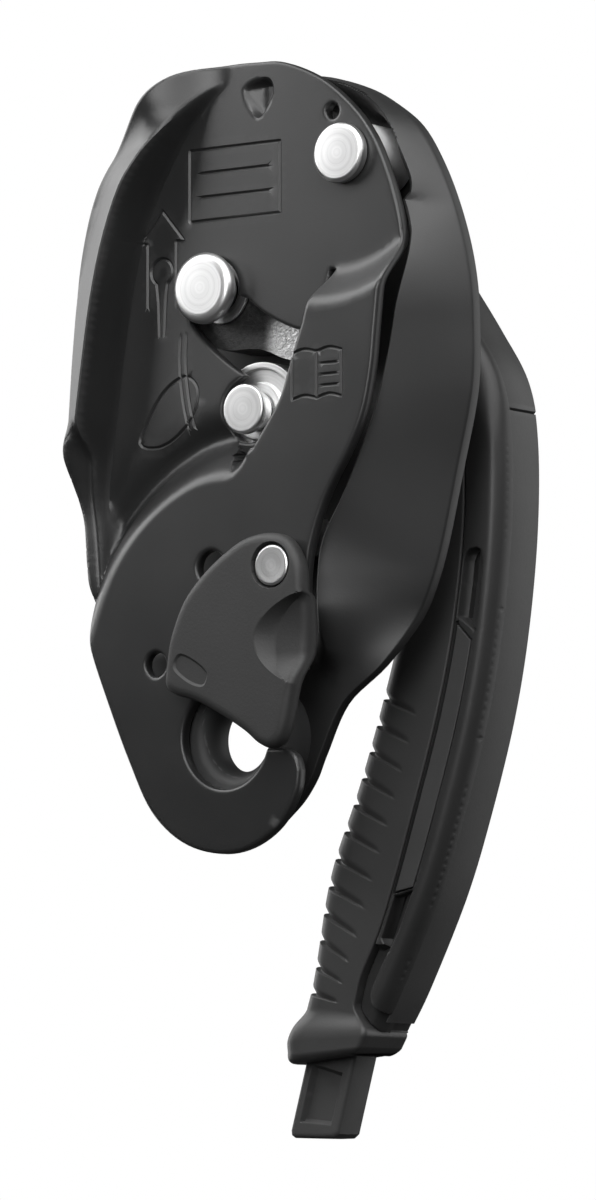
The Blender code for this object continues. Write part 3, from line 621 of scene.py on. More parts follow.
def hand_mark():
    palm = smooth_loop([(-27.0, 61.0), (-24.5, 66.5), (-20.5, 71.5), (-15.5, 73.8), (-12.5, 71.0),
                        (-13.5, 66.0), (-17.5, 62.0), (-22.5, 59.8)], 4)
    rope = smooth_line([(-16.8, 82.0), (-17.0, 76.0), (-16.2, 69.0), (-14.8, 63.0)], 5)
    beside = [(x + 1.5, z + 0.3) for x, z in rope]
    return [palm + palm[:1], rope, beside]


def booklet_mark():
    x, z = 22.4, 70.4
    left = smooth_line([(x, z - 4.6), (x - 3.0, z - 3.9), (x - 6.0, z - 4.6)], 4)
    top_left = smooth_line([(x - 6.0, z + 4.6), (x - 3.0, z + 5.3), (x, z + 4.6)], 4)
    page = left + top_left + [(x, z - 4.6)]
    lines = [[(x + 1.6, z + h), (x + 4.6, z + h)] for h in (2.2, 0.0, -2.2)]
    return [page, [(2 * x - px, pz) for px, pz in page], *lines]


STROKES = [evenly(s, 0.8, False) for s in marking_field() + arrow_mark() + hand_mark() + booklet_mark()]
print(len(STROKES), "stamped strokes")


def stroke_points(strokes):
    return np.concatenate([rows_beside(stroke, (-0.42, -0.2, 0.0, 0.2, 0.42), 0.6) for stroke in strokes])


def marked_depth(points):
    return moving_depth(points) + engraving_depth(points, STROKES)


# %% Make the moving plate
PLATE_HOLES = [window_loop(), circle(PLATE_PIVOT, 3.8, 30), circle((20.8, 124.2), 1.5, 20),
               circle((-17.3, 15.1), 2.5, 24), circle(GATE_PIVOT, 2.4, 24), circle((-3.6, 33.8), 3.4, 28)]
FLANGE_ROWS = (0.0, 0.3, 0.6, 0.9, 1.2, 1.5, 1.8, 2.2, 2.7, 3.3, 4.0, 4.8, 5.7, 6.7, 7.8)
BENDS = [rows_beside(FLANGE_LINE, FLANGE_ROWS), rows_beside(RAISED_LINE, (-0.5, 0.0, 0.5, 1.4, 2.4)),
         rows_beside(RAISED_LINE[14:], np.arange(3.4, 13.0, 1.0), 1.2),
         *[np.array(arc(PLATE_PIVOT, r, -112.0, -50.0, 50)) for r in np.arange(21.5, 32.6, 1.0)],
         rim_points(DIMPLE, (0.0, 0.4, 0.8, 1.3, 1.9))]
moving_plate = pressed_sheet("moving_plate_pressing", moving_outline(), PLATE_HOLES, marked_depth, SHEET,
                             rounding=0.7, extra=np.concatenate([stroke_points(STROKES), *BENDS]))
finish_piece(moving_plate, "moving_plate", BLACK, ["moving_side_plate"])

# %% [markdown]
# ## Fixed side plate
#
# The rear plate is a deeper pressing. Its middle is the flat floor that the rope lies on; a wall
# rises from it to a crest close behind the moving plate's edge, and beyond the crest a broad band
# slopes back to the outer edge. Round the upper pivot the wall is cut back, so that the spacer
# sleeve has room.

# %% Outline and depth of the fixed plate
FLOOR_Y = 6.0
EYE_Y = -4.0
EDGE_Y = 1.0
CREST_Y = -4.0
CREST_FALL = 7.0
CREST_TOP = smooth_line([(2.0, 134.0), (12.0, 132.6), (20.0, 130.6), (26.6, 127.0), (30.8, 122.3),
                         (33.6, 116.7), (36.6, 110.0), (36.9, 106.8)], 4)
CREST_SIDE = smooth_line([(35.6, 105.6), (37.4, 102.0), (38.8, 98.0), (39.0, 92.0), (37.6, 83.0),
                          (35.7, 73.6), (32.3, 62.4), (25.8, 48.4), (20.2, 38.6), (18.8, 30.4),
                          (18.8, 24.0), (18.0, 17.0)], 5)
CREST_LINE = CREST_TOP + CREST_SIDE


def fixed_outline():
    left = [(-10.0, 131.0), (-19.0, 124.5), (-26.0, 114.0), (-30.0, 101.0), (-32.0, 84.0), (-32.5, 66.0),
            (-31.5, 46.0), (-29.5, 26.0), (-26.0, 8.0), (-20.0, -7.0), (-11.0, -16.5), (-1.0, -19.2)]
    right = [(7.0, -14.2), (11.6, -8.9), (14.4, -3.2), (19.6, 6.4), (28.5, 13.6), (35.0, 24.0), (39.6, 35.0),
             (43.9, 52.0), (47.0, 64.7), (47.9, 72.0), (47.9, 80.0), (47.5, 88.0), (45.9, 96.7),
             (43.0, 105.8), (39.4, 113.9), (34.7, 121.3), (28.4, 126.5), (21.4, 130.5), (11.5, 133.6),
             (1.0, 134.0)]
    return smooth_loop(left + right, 6)


FIXED_EDGE = fixed_outline()
print("fixed plate outline of", len(FIXED_EDGE), "points")


def fixed_depth(points):
    z = points[:, 1]
    side, _ = to_line(points, CREST_LINE)
    beyond = np.maximum(-side, 0.0)
    rim = np.abs(to_line(points, FIXED_EDGE + FIXED_EDGE[:1])[0])
    crest = CREST_Y - CREST_FALL * smoothstep((112.0 - z) / 30.0) + CREST_FALL * smoothstep((26.0 - z) / 18.0)
    floor = FLOOR_Y + (EYE_Y - FLOOR_Y) * smoothstep((30.0 - z) / 12.0)
    edge = EDGE_Y + (EYE_Y - EDGE_Y) * smoothstep((26.0 - z) / 16.0)
    inner = (crest - floor) * (1.0 - smoothstep(side / 6.0))
    share = beyond / np.maximum(beyond + rim, 0.01)
    outer = crest - floor + (edge - crest) * (0.8 * share + 0.2 * share ** 2)
    rise = np.where(side >= 0.0, inner, outer)
    rise = rise * smoothstep((from_point(points, PLATE_PIVOT) - 8.0) / 1.5)
    return floor + rise


CREST_ROWS = (-2.0, -1.2, -0.7, -0.35, 0.0, 0.35, 0.8, 1.4, 2.2, 3.1, 4.2, 5.4)
fixed_rows = np.concatenate([rows_beside(CREST_LINE, CREST_ROWS),
                             *[np.array(circle(PLATE_PIVOT, r, 60)) for r in (8.0, 8.3, 8.6, 9.0, 9.4, 9.8)]])
fixed_plate = pressed_sheet("fixed_plate_pressing", FIXED_EDGE,
                            [circle(HOLE, 10.9), circle(CAM_AXLE, 4.1), circle(ROPE_POST, 3.6, 30),
                             circle(PLATE_PIVOT, 3.8, 30)],
                            fixed_depth, SHEET, rounding=0.3, extra=fixed_rows)
finish_piece(fixed_plate, "frame", BLACK_REAR, ["fixed_side_plate"])

# %% [markdown]
# ## Turned pieces
#
# The axles, bushes and the sleeve come off a lathe, so each is a profile of radius and depth spun
# by a Screw modifier. The profile's corners are rounded first with short arcs, because a turned
# edge is always broken by the tool.

# %% The lathe


def soften(profile, radius, steps=4, closed=False):
    """Rounds every corner of a profile of (radius, depth) points."""
    out = []
    count = len(profile)
    for i, here in enumerate(profile):
        if not closed and i in (0, count - 1):
            out.append(here)
            continue
        here = np.array(here)
        before = np.array(profile[i - 1])
        after = np.array(profile[(i + 1) % count])
        cut = min(radius, 0.45 * np.linalg.norm(before - here), 0.45 * np.linalg.norm(after - here))
        a = here + (before - here) / np.linalg.norm(before - here) * cut
        b = here + (after - here) / np.linalg.norm(after - here) * cut
        for k in range(steps + 1):
            t = k / steps
            out.append(tuple((1 - t) ** 2 * a + 2 * t * (1 - t) * here + t * t * b))
    return out


def lathe(name, axis, profile, body, look, node, radius=0.3, ring=False, steps=96):
    line = soften(profile, radius, closed=ring)
    mesh = bpy.data.meshes.new(name)
    edges = [(i, i + 1) for i in range(len(line) - 1)] + ([(len(line) - 1, 0)] if ring else [])
    mesh.from_pydata([(r * MM, 0.0, -y * MM) for r, y in line], edges, [])
    obj = bpy.data.objects.new(name, mesh)
    bpy.context.scene.collection.objects.link(obj)
    obj.rotation_euler = (math.pi / 2, 0.0, 0.0)
    obj.location = (axis[0] * MM, 0.0, axis[1] * MM)
    screw = obj.modifiers.new("turn", "SCREW")
    screw.steps = screw.render_steps = steps
    screw.use_merge_vertices = True
    screw.merge_threshold = 1e-6
    screw.use_smooth_shade = True
    print(name, "turned from", len(line), "points")
    return finish_piece(obj, body, look, [node])


# %% Heads, axles and bushes
lathe("plate_pivot_turning", PLATE_PIVOT,
      [(0.0, -11.4), (5.3, -11.5), (6.0, -10.9), (6.0, -9.3), (3.5, -9.3), (3.5, 9.2),
       (5.2, 9.2), (5.2, 10.4), (0.0, 10.4)], "frame", BRIGHT, "plate_pivot_axle", 0.25)
# The spacer's pale, half-diffuse steel is painted light.
lathe("pivot_sleeve_turning", PLATE_PIVOT, [(3.8, -6.0), (7.0, -6.0), (7.0, 5.4), (3.8, 5.4)], "frame", SPACER_STEEL_PAINTED_LIGHT,
      "plate_pivot_sleeve", 0.5, ring=True)
lathe("cam_axle_head", CAM_AXLE,
      [(0.0, -13.25), (5.6, -13.3), (6.6, -13.0), (7.2, -12.2), (7.2, -10.9), (6.7, -10.2), (5.4, -9.8),
       (4.2, -9.5), (0.0, -9.5)], "frame", BRIGHT, "cam_axle", 0.5)
# The shank's dark steel is painted shade under the head.
lathe("cam_axle_shank", CAM_AXLE,
      [(0.0, -9.4), (4.2, -9.4), (4.2, -6.4), (3.8, -6.4), (3.8, 26.0), (0.0, 26.0)], "frame", NECK_PAINTED_SHADE,
      "cam_axle", 0.15)
lathe("axle_collar_turning", CAM_AXLE, [(4.1, -6.0), (6.5, -6.0), (6.5, -5.3), (4.1, -5.3)], "frame", BRIGHT,
      "cam_axle_collar", 0.15, ring=True)
lathe("rope_post_turning", ROPE_POST,
      [(0.0, -10.95), (4.5, -11.0), (4.8, -10.9), (5.0, -10.6), (5.0, -9.2), (4.0, -9.0), (4.0, -6.5),
       (3.3, -6.5), (3.3, 9.2), (5.0, 9.2), (5.0, 10.2), (0.0, 10.2)], "frame", BRIGHT, "rope_post", 0.2)
lathe("post_bush_turning", ROPE_POST,
      [(3.6, -5.9), (5.8, -5.9), (5.8, -4.6), (8.6, -4.6), (8.6, -5.2), (10.0, -5.2), (10.0, 5.6), (3.6, 5.6)],
      "frame", BRIGHT, "rope_post_bush", 0.25, ring=True)
RAISED_Y = PLANE_Y - RAISED
lathe("gate_rivet_turning", GATE_PIVOT,
      [(r, RAISED_Y + y) for r, y in ((0.0, -4.7), (3.6, -4.9), (4.0, -4.7), (4.0, -4.2), (2.1, -4.2),
                                      (2.1, 3.0), (3.8, 3.0), (3.8, 3.7), (0.0, 3.7))],
      "moving_plate", BRIGHT, "gate_rivet", 0.12)

# %% [markdown]
# The sleeve in the carabiner hole is a black turned ring whose bore flares towards the front, so
# that the carabiner bears on a curve and not on an edge.

# %% The carabiner sleeve
THROAT = 6.6
THROAT_Y = -8.4


def flare(degrees):
    turn = math.radians(degrees)
    return (THROAT + 3.3 * (1.0 - math.cos(turn)), THROAT_Y + 4.7 * math.sin(turn))


FLARE = [flare(degrees) for degrees in range(84, -85, -7)]
lathe("carabiner_sleeve_turning", HOLE, [(12.0, -13.3), (12.0, -3.9)] + FLARE, "frame", MATTE_BLACK,
      "attachment_sleeve", 0.15, ring=True)

# %% [markdown]
# ## Gate
#
# The gate is a thick nylon plate on the bright rivet. Its front face is domed towards its edges,
# a thumb scoop is cut into its right side, and a shallow plain lozenge stands where a moulded
# badge would be.

# %% The gate
GATE_FACE = 5.2
GATE_THICK = 4.3
GATE_EDGE = [(14.2, 39.3), (8.6, 38.7), (3.8, 36.4), (-1.8, 32.4), (-6.9, 27.0), (-10.2, 19.8), (-11.3, 13.6),
             (-11.4, 10.4), (-9.4, 8.5), (-3.6, 6.7), (2.6, 3.6), (8.0, 0.4), (11.4, -2.2), (14.2, -3.2),
             (16.6, -2.2), (18.2, 0.6), (19.6, 6.2), (20.9, 12.0), (21.9, 20.0), (22.2, 27.0), (21.6, 33.0),
             (18.6, 37.8)]
LOZENGE = smooth_loop([(-9.0, 13.6), (-7.6, 16.4), (-4.0, 15.2), (-0.6, 12.4), (-1.6, 9.6), (-5.4, 10.6)], 5)
SCOOP_RIM = smooth_line([(26.0, 28.6), (22.4, 27.3), (18.6, 26.2), (14.4, 23.8), (11.4, 20.6), (10.9, 17.6),
                         (12.2, 14.4), (15.4, 11.4), (19.5, 9.4), (25.0, 9.0)], 4)
SCOOP_FLOOR = smooth_line([(26.0, 28.3), (22.2, 27.0), (19.0, 25.2), (16.3, 22.3), (15.0, 19.0), (14.8, 16.0),
                           (15.4, 12.9), (16.9, 10.9), (19.8, 9.2), (25.0, 8.8)], 4)


def gate_depth(points):
    seat = from_point(points, GATE_PIVOT)
    to_rim, _ = to_line(points, SCOOP_RIM)
    to_floor, _ = to_line(points, SCOOP_FLOOR)
    deep = 2.0 * smoothstep((points[:, 1] - 8.5) / 7.0) * smoothstep((28.6 - points[:, 1]) / 3.0)
    share = np.abs(to_rim) / np.maximum(np.abs(to_rim) + np.abs(to_floor), 0.01)
    slope = np.where(to_floor < 0.0, 1.0 + 0.1 * np.abs(to_floor), share)
    scoop = np.where(to_rim < 0.0, deep * slope, 0.0)
    gap, _ = to_line(points, LOZENGE + LOZENGE[:1])
    sunk = np.where(within(points, LOZENGE), 0.35 * smoothstep(np.abs(gap) / 0.5), 0.0)
    groove = 1.5 * (1.0 - smoothstep((seat - 4.3) / 0.35))
    return RAISED_Y - GATE_FACE + scoop + sunk + groove


gate_rows = np.concatenate([*[circle(GATE_PIVOT, r, 60) for r in (4.25, 4.4, 4.55, 4.7)],
                            rows_beside(SCOOP_RIM, (-0.3, 0.0, 0.3), 0.5),
                            rows_beside(SCOOP_FLOOR, (-0.3, 0.0, 0.3), 0.5),
                            rim_points(evenly(LOZENGE, 0.4), (0.0, 0.25, 0.5))])
gate = pressed_sheet("gate_moulding", smooth_loop(GATE_EDGE, 5), [circle(GATE_PIVOT, 2.4, 24)], gate_depth,
                     GATE_THICK, rounding=1.6, spacing=1.0, rim_spacing=0.8, extra=gate_rows)
finish_piece(gate, "gate", GATE_NYLON, ["gate"])

# %% [markdown]
# ## Handle
#
# The handle is a curved box behind the fixed plate. Its pieces follow one row of stations, given
# as the inner and the outer edge from the shoulder down to the foot. A share of 0 is the inner
# edge and a share of 1 is the outer edge, so that the seams run true from piece to piece.

# %% Stations of the handle
STATIONS = [((12.0, 86.0), (29.0, 94.0)), ((16.0, 77.0), (36.5, 83.0)), ((19.5, 68.0), (43.0, 72.0)),
            ((21.5, 58.0), (45.3, 60.0)), ((21.5, 40.0), (45.2, 42.0)), ((18.5, 22.0), (43.0, 22.0)),
            ((13.5, 5.0), (39.4, 4.0)), ((7.5, -13.0), (33.7, -15.0)), ((2.5, -31.0), (27.8, -31.0)),
            ((-1.0, -48.5), (19.2, -48.5)), ((-4.5, -57.0), (14.2, -57.0)), ((-7.8, -64.0), (11.3, -62.0))]


def grip_share(station):
    """How far the grip reaches across the handle at a station."""
    narrow = 0.05 * math.exp(-((station - 8.9) / 0.35) ** 2)
    return float(0.63 - narrow + 0.37 * smoothstep((station - 9.3) / 1.0))


def handle_point(share, station):
    last = len(STATIONS) - 1
    low = min(max(int(station), 0), last - 1)
    near = [STATIONS[min(max(low + k, 0), last)] for k in (-1, 0, 1, 2)]
    inner = catmull(*(pair[0] for pair in near), station - low)
    outer = catmull(*(pair[1] for pair in near), station - low)
    return inner + (outer - inner) * share


def handle_edge(share, start, end, step=0.1):
    count = max(1, round(abs(end - start) / step))
    return [tuple(handle_point(share, start + (end - start) * k / count)) for k in range(count + 1)]


print(len(STATIONS), "stations along the handle")

# %% [markdown]
# The moulded shell is made in two halves that meet at the depth where the spine strip begins: the
# front half reaches the full width and rolls over in a soft rail, the rear half is set in by the
# thickness of the strip. Two windows go right through, a shallow groove between them takes the
# channel strip, and past `CHANNEL` the front is sunk beside the foot.

# %% Shell halves
FRONT_Y = 13.5
SEAM_Y = 18.0
BACK_Y = 28.0
RAIL_FALL = 4.4
SUNK_FIELD = 2.4
SHELL_END = 10.15
OUTER_EDGE = handle_edge(1.0, 0.0, SHELL_END)
GRIP_SIDE = [tuple(handle_point(grip_share(t) + 0.008, t)) for t in np.arange(2.9, SHELL_END + 0.01, 0.1)]
CHANNEL = smooth_line([(18.2, -38.0), (18.5, -41.6), (16.2, -45.7), (14.1, -49.8), (14.4, -52.4),
                       (16.2, -54.7), (16.4, -56.4), (14.8, -61.0)], 4)
UPPER_END = [tuple(handle_point(s, t))
             for s, t in ((0.675, 4.25), (0.71, 4.205), (0.79, 4.20), (0.835, 4.235))]
UPPER_WINDOW = handle_edge(0.66, 4.88, 4.32) + UPPER_END + handle_edge(0.86, 4.32, 5.05)
LOWER_END = [tuple(handle_point(0.81, 8.60))]
LOWER_WINDOW = handle_edge(0.675, 8.45, 8.0) + handle_edge(0.84, 7.94, 8.38) + LOWER_END
STRIP_LOOP = handle_edge(0.662, 4.95, 7.96) + handle_edge(0.832, 7.9, 5.14)


def shell_front_depth(points):
    z = points[:, 1]
    edge, _ = to_line(points, OUTER_EDGE)
    inward = np.abs(edge)
    wide = 2.6 + 7.0 * smoothstep((z - 58.0) / 24.0)
    rolled = 1.0 - np.minimum(inward / wide, 1.0)
    roll = RAIL_FALL * (1.0 - np.sqrt(np.maximum(1.0 - rolled ** 2, 0.0)))
    slope = 0.35 * smoothstep((inward - wide - 0.4) / 5.0) * smoothstep((78.0 - z) / 16.0)
    across, _ = to_line(points, CHANNEL)
    sunk = smoothstep(across / 0.5) * smoothstep((-40.5 - z) / 0.8)
    return FRONT_Y + roll + slope + (SUNK_FIELD - slope) * sunk


def recessed_front_depth(points):
    gap, _ = to_line(points, STRIP_LOOP + STRIP_LOOP[:1])
    inset = np.where(within(points, STRIP_LOOP), 0.0, np.abs(gap))
    return shell_front_depth(points) + 1.2 * (1.0 - smoothstep((inset - 0.05) / 0.3))


def flat_at(depth):
    return lambda points: np.full(len(points), depth)


upper_side = handle_edge(0.0, 0.15, 2.88)
front_outline = upper_side + GRIP_SIDE + handle_edge(1.0, SHELL_END, 0.0)
rear_outline = upper_side + GRIP_SIDE + handle_edge(0.955, SHELL_END, 2.62) + handle_edge(1.0, 2.55, 0.0)
front_rows = np.concatenate([rows_beside(CHANNEL, (-0.3, 0.0, 0.2, 0.4, 0.6), 0.6),
                             rim_points(evenly(STRIP_LOOP, 0.6), (0.05, 0.2, 0.35, 0.6)),
                             rows_beside(OUTER_EDGE, (0.35, 0.6, 0.9, 1.3, 1.8, 2.4, 3.0, 3.8), 1.0)])
shell_front = pressed_sheet("handle_shell_front_half", front_outline, [UPPER_WINDOW, LOWER_WINDOW],
                            recessed_front_depth, 4.0, rounding=0.3, spacing=1.1, extra=front_rows,
                            back=flat_at(SEAM_Y - 0.02))
finish_piece(shell_front, "handle", HANDLE_NYLON, ["handle_shell"])
shell_rear = pressed_sheet("handle_shell_rear_half", rear_outline, [UPPER_WINDOW, LOWER_WINDOW],
                           flat_at(SEAM_Y), BACK_Y - SEAM_Y, rounding=0.3, spacing=3.0,
                           back=flat_at(BACK_Y))
finish_piece(shell_rear, "handle", HANDLE_NYLON, ["handle_shell"])

# %% [markdown]
# A paler strip lies nearly flush in the groove between the two windows, and another one closes
# the spine behind the front half.

# %% Channel strip and spine strip
strip_loop = handle_edge(0.665, 4.97, 7.95) + handle_edge(0.829, 7.9, 5.15)
channel_strip = pressed_sheet("channel_strip_moulding", strip_loop, [],
                              lambda points: shell_front_depth(points) + 0.12, 1.0, rounding=0.2)
finish_piece(channel_strip, "handle", STRIP_NYLON, ["handle_side_cover"])
spine_loop = handle_edge(0.96, 2.66, 9.85) + handle_edge(1.0, 9.85, 2.60)
spine = pressed_sheet("spine_strip_moulding", spine_loop, [], flat_at(SEAM_Y + 0.1), 9.6, rounding=0.15)
finish_piece(spine, "handle", STRIP_NYLON, ["handle_spine_strip"])

# %% [markdown]
# ## Grip
#
# The grip is moulded over the shell's inner side. It is a loft of rounded rings. Twelve finger
# grooves are pressed into its front and inner side: each deepens slowly on the way down and ends
# in a sharp lip. The rings are sheared a little, so that they run along the lips. `GRIP_BULGE`
# lists how far the grip stands out from the shell's inner edge at each height: a little along the
# middle, and more at the flared foot.

# %% The grip
GROOVE_PITCH = 5.55
GROOVE_FIRST = 46.2
GROOVE_COUNT = 12
GRIP_FRONT_Y = 13.7
GRIP_BACK_Y = 27.7
GRIP_WIDTH = 17.5


def rounded_ring(width, low, high, radii, counts):
    """Points and outward normals round a box from (0, low) to (width, high)."""
    corners = [((radii[0], low + radii[0]), radii[0], 180.0),
               ((width - radii[1], low + radii[1]), radii[1], 270.0),
               ((width - radii[2], high - radii[2]), radii[2], 0.0),
               ((radii[3], high - radii[3]), radii[3], 90.0)]
    spots, normals = [], []
    for k, (centre, radius, start) in enumerate(corners):
        turns = np.radians(start + np.linspace(0.0, 90.0, 9))
        ray = np.stack([np.cos(turns), np.sin(turns)], 1)
        spots.append(centre + radius * ray)
        normals.append(ray)
        nxt_centre, nxt_radius, nxt_start = corners[(k + 1) % 4]
        turn = math.radians(nxt_start)
        goal = np.array(nxt_centre) + nxt_radius * np.array([math.cos(turn), math.sin(turn)])
        share = np.linspace(0.0, 1.0, counts[k] + 2)[1:-1, None]
        spots.append(spots[-1][-1] + (goal - spots[-1][-1]) * share)
        normals.append(np.repeat(ray[-1:], counts[k], 0))
    return np.concatenate(spots), np.concatenate(normals)


def station_lengths(share, stations):
    """Distance travelled along one share of the handle at each station."""
    line = np.array([handle_point(share, t) for t in stations])
    return np.concatenate([[0.0], np.cumsum(np.linalg.norm(np.diff(line, axis=0), axis=1))])


def groove_depth(travel, ring, normals, width):
    phase = (travel - GROOVE_FIRST) / GROOVE_PITCH
    number = math.floor(phase)
    if number < 0 or number >= GROOVE_COUNT:
        return np.zeros(len(ring))
    into = phase - number
    across = ring[:, 0] / (0.72 * width)
    reach = np.clip(1.0 - across, 0.0, 1.0)
    in_front = (normals[:, 1] < 0.3).astype(float)
    start = 1.0 - 0.42 * (0.35 + 0.65 * np.sqrt(reach))
    fall = smoothstep((into - start) / np.maximum(0.93 - start, 1e-3))
    lip = 1.0 - smoothstep((into - 0.93) / 0.06)
    return (0.45 + 0.9 * reach ** 2) * fall * lip * smoothstep(reach / 0.2) * in_front


END_ROUNDING = 2.2
GRIP_BULGE = smooth_line([(-66.0, 0.4), (-62.5, 1.2), (-59.5, 2.7), (-56.5, 2.8), (-53.5, 1.7), (-50.5, 1.9),
                          (-37.0, 1.9), (-24.0, 1.9), (-10.0, 0.3), (4.0, 0.0), (18.0, 0.0)], 6)


def bulge_at(z):
    """How far the grip stands out from the handle's inner edge at a height."""
    return float(np.interp(z, *zip(*GRIP_BULGE)))


def grip_rings():
    stations = np.arange(2.9, 11.1201, 0.004)
    travel = station_lengths(0.2, stations)
    total = travel[-1]
    wanted = []
    place = 0.0
    while place < total:
        wanted.append(place)
        into = ((place - GROOVE_FIRST) / GROOVE_PITCH) % 1.0
        fine = into > 0.88 or into < 0.02 or place > total - 5.0
        place += 0.12 if fine else 0.4
    wanted.append(total)
    rings = []
    for place in wanted:
        station = np.interp(place, travel, stations)
        start, end = handle_point(0.0, station), handle_point(grip_share(station), station)
        bulge = np.array([bulge_at(start[1]), 0.0])
        width = np.linalg.norm(end - start + bulge)
        swell = smoothstep((station - 9.3) / 1.0)
        ring, normals = rounded_ring(width, GRIP_FRONT_Y - 1.2 * swell, GRIP_BACK_Y,
                                     (5.2, 0.4 + 0.8 * swell, 0.5, 5.0), (26, 4, 8, 5))
        cut = groove_depth(place, ring, normals, width)
        close = 1.0 - (total - place) / END_ROUNDING
        if close > 0.0:
            cut = cut + END_ROUNDING * (1.0 - math.sqrt(max(1.0 - close ** 2, 0.0)))
        ring = ring - normals * cut[:, None]
        shear = ((0.34 + 0.1 * smoothstep((station - 6.0) / 3.0)) * smoothstep((station - 3.2) / 1.2)
                 * (1.0 - smoothstep((station - 9.0) / 1.1)))
        spots = []
        for u, y in ring:
            lean = shear * u / GRIP_WIDTH
            x, z = start + (end - start) * u / width
            if lean:
                x, z = handle_point(u / width * grip_share(station + lean), station + lean)
            x = x - bulge[0] * max(0.0, 1.0 - u / width)
            spots.append((x, y, z))
        rings.append(spots)
    return rings


def loft(name, rings):
    size = len(rings[0])
    verts = [tuple(c * MM for c in p) for ring in rings for p in ring]
    faces = []
    for i in range(len(rings) - 1):
        for k in range(size):
            n = (k + 1) % size
            faces.append((i * size + k, i * size + n, (i + 1) * size + n, (i + 1) * size + k))
    faces.append(tuple(range(size)))
    faces.append(tuple((len(rings) - 1) * size + k for k in range(size)))
    mesh = bpy.data.meshes.new(name)
    mesh.from_pydata(verts, [], faces)
    clean = bmesh.new()
    clean.from_mesh(mesh)
    bmesh.ops.recalc_face_normals(clean, faces=clean.faces)
    clean.to_mesh(mesh)
    clean.free()
    print(name, len(mesh.polygons), "faces")
    return new_object(name, mesh, 50.0)


finish_piece(loft("handle_grip_moulding", grip_rings()), "handle", GRIP_RUBBER, ["handle_grip"])

# %% [markdown]
# The release tab slides in the foot of the handle. It is a tilted block with a shallow recess on
# its front that a thumb nail can catch.

# %% The release tab
TAB_TOP = (5.2, -50.0)
TAB_FRONT_Y = 16.9
TAB_BACK_Y = 25.1
TAB_TILT = math.radians(15.5)


def beside_tab(sideways, down):
    sin, cos = math.sin(TAB_TILT), math.cos(TAB_TILT)
    return (TAB_TOP[0] + sideways * cos - down * sin, TAB_TOP[1] - sideways * sin - down * cos)


RECESS = [beside_tab(s, d) for s, d in ((-3.9, 15.4), (3.9, 15.4), (3.9, 26.4), (-3.9, 27.8))]


def tab_depth(points):
    gap, _ = to_line(points, RECESS + RECESS[:1])
    return TAB_FRONT_Y + np.where(within(points, RECESS), 1.3 * smoothstep(np.abs(gap) / 0.9), 0.0)


tab_loop = [beside_tab(s, d) for s, d in ((-5.8, 12.8), (5.8, 9.6), (5.8, 27.6), (5.0, 28.7), (2.0, 29.6),
                                         (-4.5, 31.2), (-5.4, 30.9), (-5.8, 30.0))]
tab = pressed_sheet("release_tab_moulding", tab_loop, [], tab_depth, TAB_BACK_Y - TAB_FRONT_Y, rounding=0.9,
                    spacing=0.7, extra=rim_points(evenly(RECESS, 0.5), (0.05, 0.3, 0.6, 0.9)),
                    back=flat_at(TAB_BACK_Y))
finish_piece(tab, "end_button", STRIP_NYLON, ["end_button"])

# %% [markdown]
# ## Finishes of the pieces that keep their own shape
#
# The remaining nodes are small or sit inside. They keep the mechanical shape, get a fine bevel so
# that their edges catch the light, and the finish that they have on the bench.

# %% Bevel and finish the small nodes
KEPT = {"axle_nut": BRIGHT, "cam": CAM, "cam_bush": BRIGHT, "cam_spring": WIRE, "catch": CAST,
        "catch_pin": BRIGHT, "catch_spring": WIRE, "end_button_spring": WIRE, "friction_plate": CAST,
        "friction_rivet_lower": BRIGHT, "friction_rivet_upper": BRIGHT, "gate_spring": WIRE,
        "gate_washer": BRIGHT, "handle_arm": BLACK_REAR, "handle_hub_cover": HANDLE_NYLON,
        "handle_return_spring": WIRE, "handle_screw_lower": BRIGHT, "handle_screw_upper": BRIGHT,
        "inner_lever": BLACK_REAR}
for name, look in KEPT.items():
    node = frame["nodes"][name]
    node.data.materials.clear()
    node.data.materials.append(look)
    bevel = node.modifiers.new("edge", "BEVEL")
    bevel.width = 0.25 * MM
    bevel.segments = 2
    bevel.limit_method = "ANGLE"
    bevel.angle_limit = math.radians(35.0)
    bevel.harden_normals = False
print(len(KEPT), "nodes keep their shape")

# %% [markdown]
# ## Floor, light and camera
#
# A plain pale floor lies well below the hanging descender. It glows a little, so that it stays
# pale from every side, and is kept out of the object's light. Soft boxes stand close by at the
# front left, the front and the right, so that their light falls off towards the handle's foot.
# Larger ones at the left side, above and behind draw the edges. The sky is white to the camera
# but dim to the object, as in a studio with black flags.

# %% The studio


def pale_floor(level):
    bpy.ops.mesh.primitive_plane_add(size=6.0, location=(0.0, 0.0, level))
    floor = bpy.context.object
    floor.name = "studio_floor"
    look = Look("pale_floor", (0.85, 0.85, 0.85), 0.7)
    pale = look.between((0.82, 0.82, 0.82), (0.88, 0.88, 0.88), look.noise(3.0))
    look.set("Base Color", pale)
    look.set("Emission Color", pale)
    look.set("Emission Strength", 0.9)
    floor.data.materials.append(look.material)
    floor.visible_diffuse = floor.visible_glossy = False


def soft_box(name, azimuth, elevation, distance, size, power):
    light = bpy.data.lights.new(name, "AREA")
    light.shape = "RECTANGLE"
    light.size, light.size_y = size
    light.energy = power
    obj = bpy.data.objects.new(name, light)
    a, e = math.radians(azimuth), math.radians(elevation)
    out = Vector((math.sin(a) * math.cos(e), -math.cos(a) * math.cos(e), math.sin(e)))
    obj.location = out * distance + Vector((0.0, 0.0, 0.03))
    obj.rotation_mode = "QUATERNION"
    obj.rotation_quaternion = out.to_track_quat("Z", "Y")
    obj.visible_camera = False
    bpy.context.scene.collection.objects.link(obj)


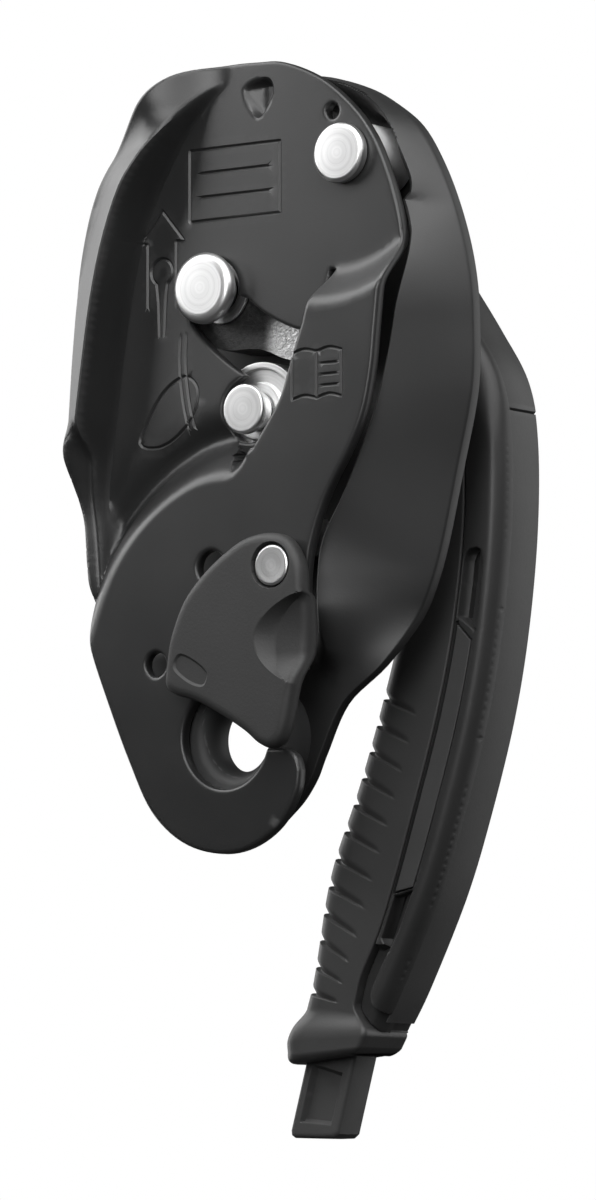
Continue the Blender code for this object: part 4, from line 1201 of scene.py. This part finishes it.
def studio_sky(seen, lit):
    world = bpy.data.worlds.new("studio_sky")
    bpy.context.scene.world = world
    world.use_nodes = True
    tree = world.node_tree
    sky = tree.nodes["Background"]
    sky.inputs["Strength"].default_value = 1.0
    path = tree.nodes.new("ShaderNodeLightPath")
    mix = tree.nodes.new("ShaderNodeMix")
    mix.data_type = "RGBA"
    mix.inputs[6].default_value = (lit, lit, lit, 1.0)
    mix.inputs[7].default_value = (seen, seen, seen, 1.0)
    tree.links.new(path.outputs["Is Camera Ray"], mix.inputs[0])
    tree.links.new(mix.outputs[2], sky.inputs["Color"])


pale_floor(-0.30)
studio_sky(1.0, 0.05)
soft_box("front_left_box", -63.0, 40.0, 0.36, (0.31, 0.36), 1.3)
soft_box("left_side_box", -106.0, 8.0, 0.9, (0.4, 0.9), 2.2)
soft_box("front_box", 20.0, 16.0, 0.6, (0.28, 0.36), 1.5)
soft_box("top_box", 20.0, 66.0, 0.9, (0.7, 0.6), 4.0)
soft_box("rear_right_box", 148.0, 10.0, 1.1, (0.8, 1.2), 4.0)
soft_box("fill_box", 62.0, 44.0, 0.55, (0.5, 0.4), 1.8)
print(len(bpy.data.lights), "soft boxes")

# %% The camera
VIEW_AZIMUTH = math.radians(36.0)
VIEW_ELEVATION = math.radians(-5.5)
VIEW_DISTANCE = 1.3
AIM = Vector((0.00547, 0.00063, 0.02811))
camera = bpy.data.cameras.new("camera")
camera.lens = 195.0
camera.sensor_width = 36.0
camera.clip_start = 0.05
camera_object = bpy.data.objects.new("camera", camera)
backward = Vector((math.sin(VIEW_AZIMUTH) * math.cos(VIEW_ELEVATION),
                   -math.cos(VIEW_AZIMUTH) * math.cos(VIEW_ELEVATION), math.sin(VIEW_ELEVATION)))
camera_object.location = AIM + backward * VIEW_DISTANCE
camera_object.rotation_mode = "QUATERNION"
camera_object.rotation_quaternion = backward.to_track_quat("Z", "Y")
bpy.context.scene.collection.objects.link(camera_object)
bpy.context.scene.camera = camera_object
bpy.context.scene.view_settings.view_transform = "Standard"
